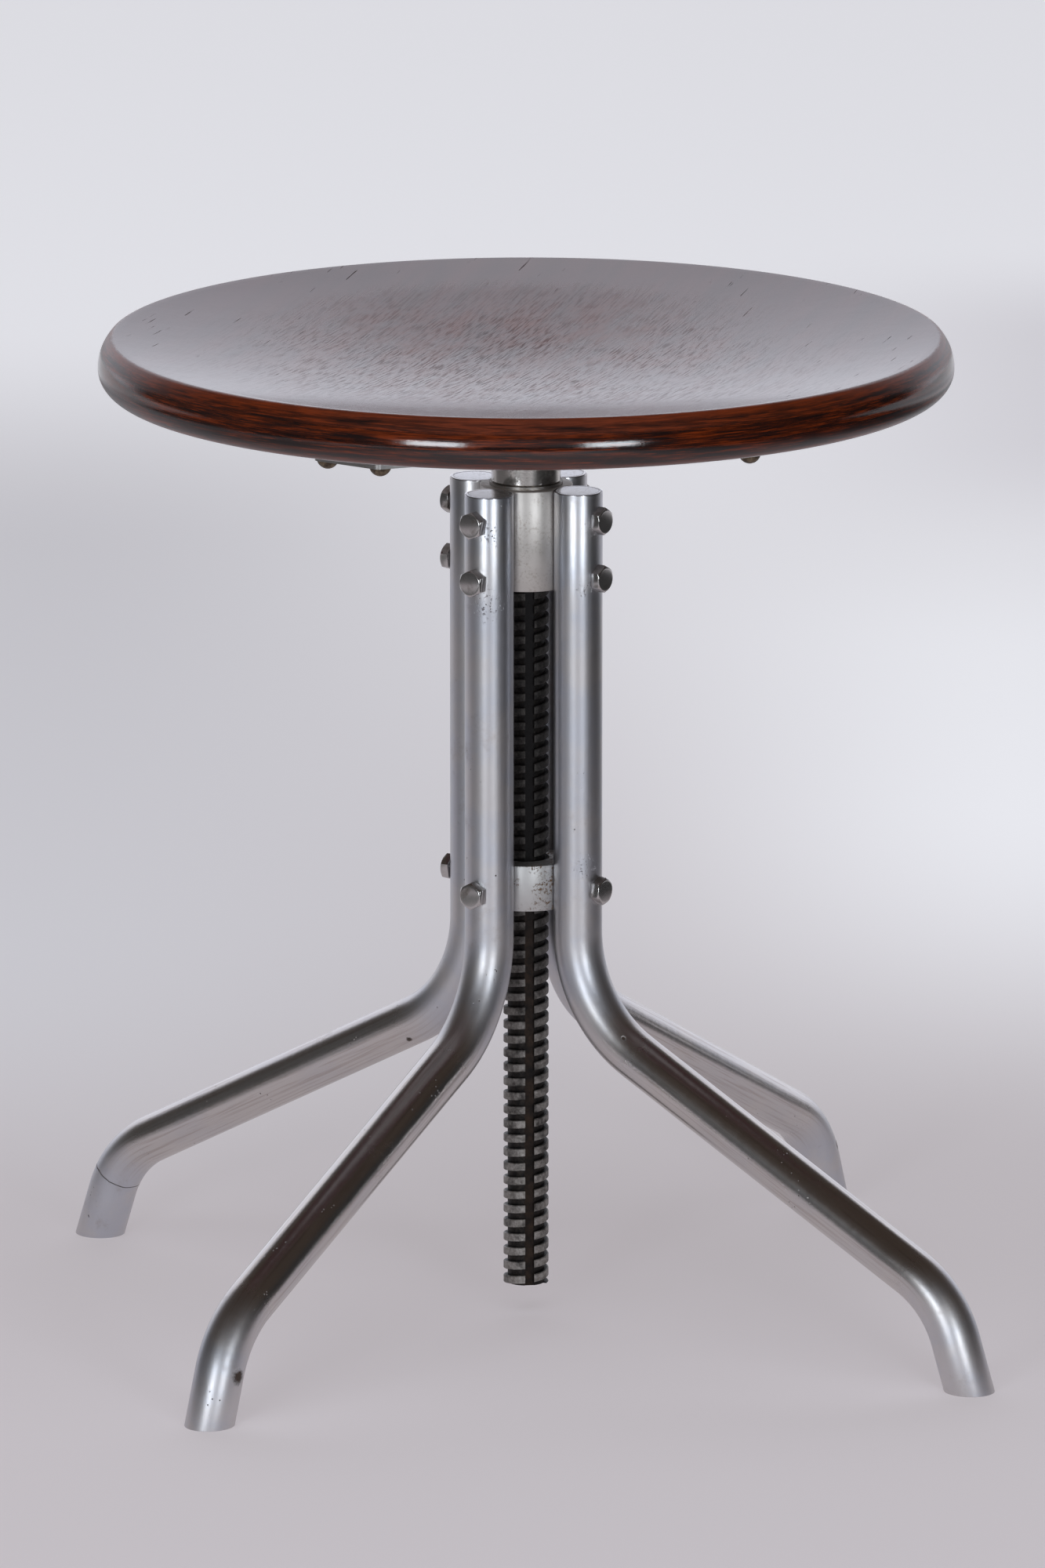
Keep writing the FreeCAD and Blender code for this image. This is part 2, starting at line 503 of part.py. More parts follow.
def seat_screws(label, side, first_turn, count):
    """Slotted round-head wood screws on one side of each corner's middle."""
    body = new_body(label, first_turn)
    offset_expr = ("-" if side > 0 else "") + "Dims.screw_spread / 2"
    outline = new_sketch(body, label + "_outline", "XZ_Plane", (SCREW_R, "0", offset_expr))
    head_r, head_h = V["screw_head_r"], V["screw_head_height"]
    shank, grip = V["screw_shank_r"], V["screw_grip"]
    low = plate_bottom - head_h
    dome = (head_r ** 2 + head_h ** 2) / (2 * head_h)
    centre = vec(0, low + dome)
    rim = math.atan2(plate_bottom - centre.y, head_r)
    circle = Part.Circle(centre, vec(0, 0, 1), dome)
    outline.addGeometry(Part.ArcOfCircle(circle, -math.pi / 2, rim), False)
    points = (vec(head_r, plate_bottom), vec(shank, plate_bottom), vec(shank, seat_bottom + grip - V["screw_point"]),
              vec(0, seat_bottom + grip), vec(0, low))
    for a, b in zip(points, points[1:]):
        outline.addGeometry(Part.LineSegment(a, b), False)
    for joint in ((0, 2, 1, 1), (1, 2, 2, 1), (2, 2, 3, 1), (3, 2, 4, 1), (4, 2, 0, 1)):
        outline.addConstraint(Sketcher.Constraint("Coincident", *joint))
    outline.addConstraint(Sketcher.Constraint("PointOnObject", 0, 3, -2))
    fix_point(outline, 0, 1, 0, "0", low, PLATE_BOTTOM + " - Dims.screw_head_height")
    fix_point(outline, 1, 1, head_r, "Dims.screw_head_r", plate_bottom, PLATE_BOTTOM)
    fix_point(outline, 2, 1, shank, "Dims.screw_shank_r", plate_bottom, PLATE_BOTTOM)
    fix_point(outline, 3, 1, shank, "Dims.screw_shank_r", points[2].y,
              SEAT_BOTTOM + " + Dims.screw_grip - Dims.screw_point")
    fix_point(outline, 4, 1, 0, "0", points[3].y, SEAT_BOTTOM + " + Dims.screw_grip")
    doc.recompute()
    turned = revolve(body, label + "_turned", outline)
    doc.recompute()
    slot = new_sketch(body, label + "_slot", "XY_Plane",
                      (SCREW_R, ("" if side > 0 else "-") + "Dims.screw_spread / 2",
                       PLATE_BOTTOM + " - Dims.screw_head_height"))
    half, long = V["screw_slot_width"] / 2, 2 * head_r
    add_polygon(slot, (
        (half, "Dims.screw_slot_width / 2", long, "2 * Dims.screw_head_r"),
        (-half, "-Dims.screw_slot_width / 2", long, "2 * Dims.screw_head_r"),
        (-half, "-Dims.screw_slot_width / 2", -long, "-2 * Dims.screw_head_r"),
        (half, "Dims.screw_slot_width / 2", -long, "-2 * Dims.screw_head_r")))
    doc.recompute()
    cut = pocket(body, label + "_slot_cut", slot, "Dims.screw_slot_depth", True)
    polar(body, label + "_round_the_axis", [turned, cut], count, 90.0 * (count if count == 4 else count - 1))
    return body


def seat_board(label):
    """The turned seat: dished on top, with a rounded rim and an underside that rises to the rim."""
    body = new_body(label)
    outline = new_sketch(body, label + "_outline", "XZ_Plane")
    bulge = V["rim_bulge_r"]
    centre = vec(V["seat_r"] - bulge, seat_bottom + V["rim_rise"])
    top_angle, low_angle = math.radians(V["rim_top_angle"]), math.radians(V["rim_low_angle"])
    rim_top = centre + vec(math.cos(top_angle), math.sin(top_angle)) * bulge
    rim_low = centre + vec(math.cos(low_angle), -math.sin(low_angle)) * bulge
    flat = math.hypot(V["plate_tip_r"], V["plate_tip_width"] / 2) + V["flat_margin"]
    flat_expr = "sqrt(Dims.plate_tip_r ^ 2 + (Dims.plate_tip_width / 2) ^ 2) + Dims.flat_margin"
    floor = vec(0, rim_top.y - V["dish_depth"])
    top_expr = SEAT_BOTTOM + " + Dims.rim_rise + Dims.rim_bulge_r * sin(Dims.rim_top_angle * 1 deg)"
    dish_r = (rim_top.x ** 2 + V["dish_depth"] ** 2) / (2 * V["dish_depth"])
    dish_centre = floor + vec(0, dish_r)
    dish_end = math.atan2(rim_top.y - dish_centre.y, rim_top.x)
    up = vec(0, 0, 1)
    outline.addGeometry(Part.LineSegment(vec(0, seat_bottom), vec(flat, seat_bottom)), False)
    outline.addGeometry(Part.LineSegment(vec(flat, seat_bottom), rim_low), False)
    outline.addGeometry(Part.ArcOfCircle(Part.Circle(centre, up, bulge), -low_angle, top_angle), False)
    outline.addGeometry(Part.ArcOfCircle(Part.Circle(dish_centre, up, dish_r), -math.pi / 2, dish_end), False)
    outline.addGeometry(Part.LineSegment(floor, vec(0, seat_bottom)), False)
    for joint in ((0, 2, 1, 1), (1, 2, 2, 1), (2, 2, 3, 2), (3, 1, 4, 1), (4, 2, 0, 1)):
        outline.addConstraint(Sketcher.Constraint("Coincident", *joint))
    fix_point(outline, 0, 1, 0, "0", seat_bottom, SEAT_BOTTOM)
    fix_point(outline, 1, 1, flat, flat_expr, seat_bottom, SEAT_BOTTOM)
    fix_point(outline, 2, 3, centre.x, "Dims.seat_r - Dims.rim_bulge_r", centre.y, SEAT_BOTTOM + " + Dims.rim_rise")
    bind(outline, "Radius", (2,), bulge, "Dims.rim_bulge_r")
    bind(outline, "DistanceY", (-1, 1, 2, 2), rim_top.y, top_expr)
    bind(outline, "DistanceY", (-1, 1, 2, 1), rim_low.y,
         SEAT_BOTTOM + " + Dims.rim_rise - Dims.rim_bulge_r * sin(Dims.rim_low_angle * 1 deg)")
    outline.addConstraint(Sketcher.Constraint("PointOnObject", 3, 3, -2))
    fix_point(outline, 4, 1, 0, "0", floor.y, top_expr + " - Dims.dish_depth")
    doc.recompute()
    revolve(body, label + "_turned", outline)
    doc.recompute()
    drill_for_screws(body, label, SEAT_BOTTOM, "Dims.screw_grip + Dims.screw_clearance")
    finish(body)


LEGS = (("front_right", -45.0), ("front_left", -135.0), ("rear_left", 135.0), ("rear_right", 45.0))
for place, turn in LEGS:
    leg("leg_" + place, turn)
    plug("leg_plug_" + place, turn)
fluted_block("screw_nut", NUT_BOTTOM, "Dims.nut_height", ((upper_bolt, UPPER_BOLT), (lower_bolt, LOWER_BOLT)))
fluted_block("guide_collar", "Dims.collar_bottom", "Dims.collar_height", ((collar_bolt, COLLAR_BOLT),))
bolts("nut_bolts_upper", upper_bolt, UPPER_BOLT)
bolts("nut_bolts_lower", lower_bolt, LOWER_BOLT)
bolts("collar_bolts", collar_bolt, COLLAR_BOLT)
washer("friction_washer")
spindle("screw_spindle")
hub("seat_hub")
seat_plate("seat_plate")
# The front right corner has one screw only, as the stool is shown.
screw_group = doc.addObject("Part::Compound", "seat_screws")
screw_group.Links = [seat_screws("seat_screws_left", -1, LEG_TURN, 4),
                     seat_screws("seat_screws_right", 1, LEG_TURN, 3)]
screw_group.Label = "seat_screws"
finish(screw_group)
seat_board("seat_board")

doc.recompute()
broken = [o.Label for o in doc.Objects if "Invalid" in o.State or "Error" in o.State]
for part in SUBPARTS:
    if part.Shape.isNull() or not part.Shape.isValid() or not part.Shape.Solids:
        broken.append(part.Label)
if broken:
    raise RuntimeError("not built: " + ", ".join(broken))
os.makedirs("parts", exist_ok=True)
for part in SUBPARTS:
    part.Shape.exportStep(os.path.join("parts", part.Label + ".step"))
    box = part.Shape.BoundBox
    print("%-24s %2d solids %10.1f mm3  z %7.2f to %7.2f" % (
        part.Label, len(part.Shape.Solids), part.Shape.Volume, box.ZMin, box.ZMax))
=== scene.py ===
"""Dressing of a screw-adjusted piano stool: plated bent tubes, an oily square thread and a dished seat.

Metres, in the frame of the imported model: +Z up, origin on the floor on the screw's axis, legs on the
diagonals of X and Y, the screw's keyway towards -Y.
"""

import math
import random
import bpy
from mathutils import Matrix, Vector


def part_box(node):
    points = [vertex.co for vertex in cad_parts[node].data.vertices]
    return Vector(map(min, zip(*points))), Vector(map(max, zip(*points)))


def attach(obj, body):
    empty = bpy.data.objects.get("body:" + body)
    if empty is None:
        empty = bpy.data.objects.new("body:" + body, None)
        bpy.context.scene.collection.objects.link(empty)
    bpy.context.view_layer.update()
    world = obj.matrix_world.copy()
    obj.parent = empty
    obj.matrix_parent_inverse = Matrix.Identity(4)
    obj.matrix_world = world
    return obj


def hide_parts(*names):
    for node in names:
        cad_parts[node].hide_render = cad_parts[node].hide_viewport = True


bl_info = {
    "name": "Piano Stool Dressing",
    "version": (1, 0, 0),
    "blender": (4, 5, 0),
    "location": "View3D > Sidebar > Stool",
    "description": "Models and finishes the visible pieces of a piano stool round its packed frame",
    "category": "Object",
}

import bpy
from bpy.props import FloatProperty, FloatVectorProperty, IntProperty, PointerProperty
from mathutils import Matrix, Vector

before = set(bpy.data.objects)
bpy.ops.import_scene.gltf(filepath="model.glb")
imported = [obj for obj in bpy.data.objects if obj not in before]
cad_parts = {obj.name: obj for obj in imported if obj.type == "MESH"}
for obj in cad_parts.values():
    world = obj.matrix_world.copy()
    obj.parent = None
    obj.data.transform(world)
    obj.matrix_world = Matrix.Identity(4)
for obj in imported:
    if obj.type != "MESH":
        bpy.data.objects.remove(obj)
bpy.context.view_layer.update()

NUT_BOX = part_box("screw_nut")
COLLAR_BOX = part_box("guide_collar")
HUB_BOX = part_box("seat_hub")
PLATE_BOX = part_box("seat_plate")
SEAT_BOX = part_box("seat_board")
SPINDLE_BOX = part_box("screw_spindle")
BOLT_ROWS = ("nut_bolts_upper", "nut_bolts_lower", "collar_bolts")
LEG_ANGLES = {"front_right": -45.0, "front_left": -135.0, "rear_left": 135.0, "rear_right": 45.0}

# Working sizes of the modelling, which a user would leave alone
STARTER = 0.001         # side of the plane that a chain of edges starts from
WELD = 1e-6             # vertices nearer than this become one
OVERRUN = 0.010         # how far a cutting tool reaches past what it cuts
SLIP = 0.0001           # gap between two pieces that fit together
LAP = 0.0001            # overlap of two solids that are joined into one piece
STRAIGHT_PARTS = 4      # lengths in which a straight stretch of tube is drawn
TUBE_EDGE = 0.00025     # worn edge of a cut tube
BLOCK_EDGE = 0.0004     # worn edge of nut and collar
BOLT_EDGE = 0.00016     # worn edge of a bolt's head
SLOT_EDGE = 0.00012     # worn edge of a screw's slot
BOLT_SEED = 7           # random numbers for the turns of the bolts' heads
BOLT_SLACK = 0.2        # most that a bolt's head is turned either way, in radians
SCREW_SEED = 3          # random numbers for the turns of the seat screws' slots


# Sizes and colours that a user would change

class StoolStandSizes(bpy.types.PropertyGroup):
    """Sizes and colours of the tubular stand"""
    tube_radius: FloatProperty(name="Tube radius", description="Outside radius of a leg tube",
                               default=0.010, unit="LENGTH")
    tube_wall: FloatProperty(name="Tube wall", description="Wall of a leg tube",
                             default=0.0015, unit="LENGTH")
    leg_circle: FloatProperty(name="Leg circle", description="Radius of the ring of uprights",
                              default=0.026, unit="LENGTH")
    knee_height: FloatProperty(name="Knee height", description="Where upright and slanted run would meet",
                               default=0.1315, unit="LENGTH")
    ankle_radius: FloatProperty(name="Ankle radius", description="Where slanted run and foot would meet",
                                default=0.2075, unit="LENGTH")
    ankle_height: FloatProperty(name="Ankle height", description="Where slanted run and foot would meet",
                                default=0.037, unit="LENGTH")
    foot_radius: FloatProperty(name="Foot radius", description="Radius of a foot's centre on the floor",
                               default=0.220, unit="LENGTH")
    knee_bend: FloatProperty(name="Knee bend", description="Bend radius under the upright",
                             default=0.055, unit="LENGTH")
    ankle_bend: FloatProperty(name="Ankle bend", description="Bend radius above the foot",
                              default=0.044, unit="LENGTH")
    tube_sides: IntProperty(name="Tube sides", description="Faces round a tube", default=56, min=16)
    block_radius: FloatProperty(name="Block radius", description="Outside radius of nut and collar",
                                default=0.019, unit="LENGTH")
    block_bore: FloatProperty(name="Block bore", description="Radius of the bore that the screw turns in",
                              default=0.00965, unit="LENGTH")
    bolt_flats: FloatProperty(name="Bolt flats", description="Across the flats of a bolt's head",
                              default=0.010, unit="LENGTH")
    bolt_head: FloatProperty(name="Bolt head", description="Height of a bolt's head",
                             default=0.004, unit="LENGTH")
    bolt_shank: FloatProperty(name="Bolt shank", description="Radius of a bolt's shank",
                              default=0.003, unit="LENGTH")
    bolt_reach: FloatProperty(name="Bolt reach", description="Length of a bolt's shank",
                              default=0.020, unit="LENGTH")
    plating: FloatVectorProperty(name="Plating", description="Colour of the worn plating",
                                 default=(0.600, 0.600, 0.620), subtype="COLOR", min=0, max=1)
    bare_steel: FloatVectorProperty(name="Bare steel", description="Colour of the turned steel",
                                    default=(0.56, 0.53, 0.50), subtype="COLOR", min=0, max=1)


class StoolScrewSizes(bpy.types.PropertyGroup):
    """Sizes of the screw, its square thread and the hub on it"""
    pitch: FloatProperty(name="Pitch", description="Rise of the thread in one turn",
                         default=0.006, unit="LENGTH")
    ridge: FloatProperty(name="Ridge", description="Height of the thread's ridge",
                         default=0.0034, unit="LENGTH")
    depth: FloatProperty(name="Depth", description="Depth of the thread", default=0.0017, unit="LENGTH")
    edge: FloatProperty(name="Edge", description="Worn edge of the ridge", default=0.0003, unit="LENGTH")
    steps: IntProperty(name="Steps", description="Faces in one turn", default=48, min=12)
    keyway_width: FloatProperty(name="Keyway width", description="Width of the keyway",
                                default=0.0038, unit="LENGTH")
    keyway_depth: FloatProperty(name="Keyway depth", description="Depth of the keyway",
                                default=0.0022, unit="LENGTH")
    spigot: FloatProperty(name="Spigot", description="Radius of the plain end in the hub",
                          default=0.007, unit="LENGTH")
    hub_chamfer: FloatProperty(name="Hub chamfer", description="Chamfer of the hub's lower edge",
                               default=0.0006, unit="LENGTH")


class StoolSeatSizes(bpy.types.PropertyGroup):
    """Sizes and colours of the seat"""
    rim_upper: FloatProperty(name="Upper rim", description="Radius of the rim above its widest line",
                             default=0.0171, unit="LENGTH")
    rim_lower: FloatProperty(name="Lower rim", description="Radius of the rim below its widest line",
                             default=0.0093, unit="LENGTH")
    rim_rise: FloatProperty(name="Rim rise", description="Underside to the rim's widest line",
                            default=0.0165, unit="LENGTH")
    rim_top: FloatProperty(name="Rim top", description="Upper end of the rim's bulge above level",
                           default=math.radians(46.8), subtype="ANGLE")
    rim_low: FloatProperty(name="Rim low", description="Lower end of the rim's bulge below level",
                           default=math.radians(78.0), subtype="ANGLE")
    dish_depth: FloatProperty(name="Dish depth", description="Depth of the dish",
                              default=0.012, unit="LENGTH")
    crease: FloatProperty(name="Crease", description="Worn rounding between rim and dish",
                          default=0.0012, unit="LENGTH")
    flat_radius: FloatProperty(name="Flat radius", description="End of the flat underside",
                               default=0.131, unit="LENGTH")
    sides: IntProperty(name="Sides", description="Faces round the seat", default=240, min=48)
    grain_turn: FloatProperty(name="Grain turn", description="Direction of the grain in plan",
                              default=math.radians(63.0), subtype="ANGLE")
    screw_radius: FloatProperty(name="Screw circle", description="Axis to a pair of seat screws",
                                default=0.1195, unit="LENGTH")
    screw_spread: FloatProperty(name="Screw spread", description="Between the two screws of a pair",
                                default=0.026, unit="LENGTH")
    screw_head: FloatProperty(name="Screw head", description="Radius of a seat screw's head",
                              default=0.0045, unit="LENGTH")
    screw_rise: FloatProperty(name="Screw rise", description="Height of a seat screw's head",
                              default=0.0038, unit="LENGTH")
    screw_shank: FloatProperty(name="Screw shank", description="Radius of a seat screw's shank",
                               default=0.0019, unit="LENGTH")
    screw_reach: FloatProperty(name="Screw reach", description="Length of a seat screw's shank",
                               default=0.010, unit="LENGTH")
    slot_width: FloatProperty(name="Slot width", description="Width of a seat screw's slot",
                              default=0.0011, unit="LENGTH")
    slot_depth: FloatProperty(name="Slot depth", description="Depth of a seat screw's slot",
                              default=0.0015, unit="LENGTH")
    stain: FloatVectorProperty(name="Stain", description="Colour of the stained wood",
                               default=(0.080, 0.019, 0.020), subtype="COLOR", min=0, max=1)
    worn: FloatVectorProperty(name="Worn", description="Colour where the stain has worn",
                              default=(0.230, 0.072, 0.052), subtype="COLOR", min=0, max=1)
    rim_dark: FloatVectorProperty(name="Rim dark", description="Darkest layers of the rim",
                                  default=(0.013, 0.0045, 0.004), subtype="COLOR", min=0, max=1)
    rim_brown: FloatVectorProperty(name="Rim brown", description="Common layers of the rim",
                                   default=(0.062, 0.0100, 0.0026), subtype="COLOR", min=0, max=1)
    rim_worn: FloatVectorProperty(name="Rim worn", description="Rubbed layers of the rim",
                                  default=(0.210, 0.031, 0.0045), subtype="COLOR", min=0, max=1)


class StoolStageSizes(bpy.types.PropertyGroup):
    """The camera and the floor"""
    azimuth: FloatProperty(name="Azimuth", description="Camera's turn round the stool",
                           default=math.radians(-9.7), subtype="ANGLE")
    distance: FloatProperty(name="Distance", description="Camera's distance over the floor",
                            default=6.0, unit="LENGTH")
    height: FloatProperty(name="Height", description="Camera's height", default=1.5972, unit="LENGTH")
    tilt: FloatProperty(name="Tilt", description="Camera's tilt below level",
                        default=math.radians(12.9), subtype="ANGLE")
    swing: FloatProperty(name="Swing", description="Camera's swing to the left",
                         default=math.radians(0.014), subtype="ANGLE")
    focal: FloatProperty(name="Focal length", description="Camera's lens in millimetres", default=344.7)
    floor_radius: FloatProperty(name="Floor radius", description="Radius of the floor",
                                default=30.0, unit="LENGTH")


# Shader maths

class Value:
    """A number socket: arithmetic on it adds Math nodes to its tree."""

    def __init__(self, finish, socket):
        self.finish = finish
        self.socket = socket

    def math(self, operation, *others):
        node = self.finish.tree.nodes.new("ShaderNodeMath")
        node.operation = operation
        for slot, value in zip(node.inputs, (self,) + others):
            self.finish.feed(slot, value)
        return Value(self.finish, node.outputs[0])

    def __add__(self, other):
        return self.math("ADD", other)

    __radd__ = __add__

    def __sub__(self, other):
        return self.math("SUBTRACT", other)

    def __rsub__(self, other):
        return (self * -1.0) + other

    def __mul__(self, other):
        return self.math("MULTIPLY", other)

    __rmul__ = __mul__

    def __pow__(self, other):
        return self.math("POWER", other)

    def __abs__(self):
        return self.math("ABSOLUTE")

    def smooth(self, low, high):
        """0 below low, 1 above high, eased between; low may be the larger."""
        node = self.finish.add("ShaderNodeMapRange", {"interpolation_type": "SMOOTHSTEP", "clamp": True},
                               {"Value": self, "From Min": low, "From Max": high})
        return Value(self.finish, node.outputs["Result"])

    def clip(self):
        return self.math("MAXIMUM", 0.0).math("MINIMUM", 1.0)

    def most(self, other):
        return self.math("MAXIMUM", other)


class Finish:
    """A node material of one surface, and the methods that add its nodes."""

    SOCKETS = {"colour": "Base Color", "rough": "Roughness", "metal": "Metallic", "ior": "IOR",
               "specular": "Specular IOR Level", "glow": "Emission Color",
               "glow_strength": "Emission Strength"}

    def __init__(self, name):
        self.material = bpy.data.materials.new(name)
        self.material.use_nodes = True
        self.shader = self.material.node_tree.nodes["Principled BSDF"]
        self.start(self.material.node_tree, "Object")

    @classmethod
    def of_tree(cls, tree, coords):
        """The same methods on a tree that isn't a material's, such as the world's."""
        finish = cls.__new__(cls)
        finish.start(tree, coords)
        return finish

    def start(self, tree, coords):
        self.tree = tree
        self.coords = self.add("ShaderNodeTexCoord", {}, {}).outputs[coords]
        split = self.add("ShaderNodeSeparateXYZ", {}, {"Vector": self.coords})
        self.x, self.y, self.z = (Value(self, s) for s in split.outputs)

    def feed(self, slot, value):
        if isinstance(value, Value):
            self.tree.links.new(value.socket, slot)
        elif isinstance(value, bpy.types.NodeSocket):
            self.tree.links.new(value, slot)
        else:
            slot.default_value = value

    def add(self, kind, settings, sockets):
        """A node of a kind, with its settings and then the values or links of its sockets."""
        node = self.tree.nodes.new(kind)
        for key, value in settings.items():
            setattr(node, key, value)
        for key, value in sockets.items():
            self.feed(node.inputs[key], value)
        return node

    def attribute(self, name):
        return self.add("ShaderNodeAttribute", {"attribute_name": name}, {}).outputs["Vector"]

    def camera_ray(self):
        """1 where the camera looks straight at the surface, 0 where it is mirrored or gives light."""
        return Value(self, self.add("ShaderNodeLightPath", {}, {}).outputs["Is Camera Ray"])

    def reach(self, y=0.0):
        """Distance in plan from a point on the Y axis."""
        behind = self.y - y
        return (self.x * self.x + behind * behind) ** 0.5

    def scaled(self, vector, scale):
        return self.add("ShaderNodeMapping", {}, {"Vector": vector, "Scale": scale}).outputs[0]

    def stretched(self, scale, turn=(0.0, 0.0, 0.0)):
        """Object coordinates turned and then scaled along each axis."""
        turned = self.add("ShaderNodeMapping", {}, {"Vector": self.coords, "Rotation": turn}).outputs[0]
        return self.scaled(turned, scale)

    def noise(self, vector, scale, detail=3.0, rough=0.55, warp=0.0):
        node = self.add("ShaderNodeTexNoise", {}, {"Vector": vector, "Scale": scale, "Detail": detail,
                                                   "Roughness": rough, "Distortion": warp})
        return Value(self, node.outputs["Fac"])

    def cells(self, vector, scale):
        node = self.add("ShaderNodeTexVoronoi", {}, {"Vector": vector, "Scale": scale})
        return Value(self, node.outputs["Distance"])

    def blend(self, mask, low, high):
        """A colour between two colours, by a mask."""
        node = self.add("ShaderNodeMix", {"data_type": "RGBA", "clamp_factor": True}, {})
        self.feed(node.inputs[0], mask)
        for slot, colour in ((node.inputs[6], low), (node.inputs[7], high)):
            self.feed(slot, colour if isinstance(colour, bpy.types.NodeSocket) else (*colour, 1.0))
        return node.outputs[2]

    def spot(self, centre, radius, soft):
        """1 inside a ball round a point, 0 outside it, with a ragged edge."""
        offset = self.add("ShaderNodeVectorMath", {"operation": "DISTANCE"}, {0: self.coords, 1: centre})
        ragged = self.noise(self.coords, 900.0, 2.0) * (soft * 2.0)
        return (Value(self, offset.outputs["Value"]) + ragged).smooth(radius + soft * 2, radius)

    def bump(self, height, strength, distance):
        sockets = {"Height": height, "Strength": strength, "Distance": distance}
        self.feed(self.shader.inputs["Normal"], self.add("ShaderNodeBump", {}, sockets).outputs[0])

    def set(self, **sockets):
        for key, value in sockets.items():
            self.feed(self.shader.inputs[self.SOCKETS[key]], value)


def tinted(colour, *factors):
    """A colour times one factor, or times a factor each for red, green and blue."""
    return tuple(c * k for c, k in zip(colour, factors * 3))


def grey(level):
    return (level, level, level)


# Finishes

def plated_tube_finish(name, plating, chips, stains, crack):
    """Worn satin plating, rubbed along the tube, tarnished and pitted, with chips, stains and a crack; the
    slanted runs are painted browner, a painted reflection of the seat above them.
    """
    brown_tint, tarnished, bare = (0.60, 0.555, 0.525), (0.36, 0.30, 0.27), (0.060, 0.040, 0.030)
    f = Finish(name)
    unbent = f.attribute("unbent")
    along = Value(f, f.add("ShaderNodeSeparateXYZ", {}, {"Vector": unbent}).outputs["Z"])
    rubbing = f.noise(f.scaled(unbent, (900.0, 900.0, 22.0)), 1.0, 3.0, 0.6)
    mottle = f.noise(f.coords, 30.0, 4.0)
    fine = f.noise(f.coords, 260.0, 4.0, 0.65)
    warmth = f.noise(f.coords, 42.0, 4.0, 0.6)
    tarnish = f.noise(f.coords, 55.0, 5.0, 0.7).smooth(0.58, 0.78)
    pitted = f.noise(f.coords, 70.0, 2.0).smooth(0.60, 0.68)
    rusty = f.noise(f.coords, 850.0, 3.0, 0.7).smooth(0.56, 0.66)
    # Stretches of the tube, measured from its top as if it were straight.
    top_end = along.smooth(0.0006, 0.0001)
    knee = along.smooth(0.170, 0.205) * along.smooth(0.262, 0.225)
    run = along.smooth(0.215, 0.255) * along.smooth(0.425, 0.395)
    ankle = along.smooth(0.385, 0.410)
    dark = f.cells(f.coords, 420.0).smooth(0.16, 0.06) * pitted
    for centre, radius in chips:
        dark = dark.most(f.spot(centre, radius, radius * 0.45))
    for centre, radius in stains:
        dark = dark.most(f.spot(centre, radius * 0.3, radius * 0.7) * rusty)
    if crack:
        line = abs(along + f.noise(f.coords, 60.0, 3.0) * 0.004 - (crack + 0.002))
        dark = dark.most(line.smooth(0.00035, 0.00010) * 0.8)
    cool, warm = tinted(plating, 0.95, 0.97, 1.01), tinted(plating, 1.05, 1.02, 0.99)
    # On the slanted runs the plating is painted brown: a painted reflection of the seat's brown underside.
    colour = f.blend(run * 0.6, f.blend(warmth.smooth(0.35, 0.65), cool, warm), brown_tint)
    colour = f.blend(tarnish.most(rubbing.smooth(0.48, 0.66) * run) * 0.40, colour, tarnished)
    satin = 0.30 + rubbing * 0.08 + fine * 0.06 + tarnish * 0.10
    satin = satin + knee.most(ankle) * 0.06 - run * 0.14 - top_end * 0.24
    f.set(colour=f.blend(dark, colour, bare), metal=1.0 - dark * 0.8, rough=satin + dark * 0.3)
    f.bump(rubbing * 0.5 + mottle * 6.0 + fine * 1.5 - dark * 8.0, 1.0, 0.00003)
    return f.material


def turned_steel_finish(name, colour, rust, lines, satin=0.28):
    """Satin turned steel: fine tool lines round the axis and specks of brown rust."""
    rust_brown = (0.16, 0.085, 0.035)
    f = Finish(name)
    tool = f.noise(f.stretched((1.0, 1.0, 26.0)), 60.0, 4.0, 0.7) * lines
    cloud = f.noise(f.coords, 45.0, 4.0)
    rusty = f.noise(f.coords, 110.0, 3.0).smooth(0.40, 0.60)
    speck = f.noise(f.coords, 900.0, 3.0, 0.7).smooth(0.50, 0.62) * rusty * rust
    clean = f.blend(cloud.smooth(0.3, 0.75), tinted(colour, 0.82), tinted(colour, 1.08))
    f.set(colour=f.blend(speck, clean, rust_brown), metal=1.0 - speck * 0.7,
          rough=satin + cloud * 0.08 + speck * 0.35 + tool)
    f.bump(tool - speck * 0.4, 0.3, 0.0003)
    return f.material


def bolt_finish(name):
    """Worn bolt steel with fine nicks and clouds of grime."""
    f = Finish(name)
    cloud = f.noise(f.coords, 160.0, 4.0)
    nick = f.noise(f.coords, 900.0, 3.0, 0.7)
    grime = cloud.smooth(0.52, 0.74)
    colour = f.blend(grime, (0.52, 0.50, 0.49), (0.32, 0.29, 0.265))
    f.set(colour=colour, metal=0.95, rough=0.13 + nick * 0.08 + grime * 0.10)
    f.bump(nick * 0.2 + cloud, 0.02, 0.0003)
    return f.material


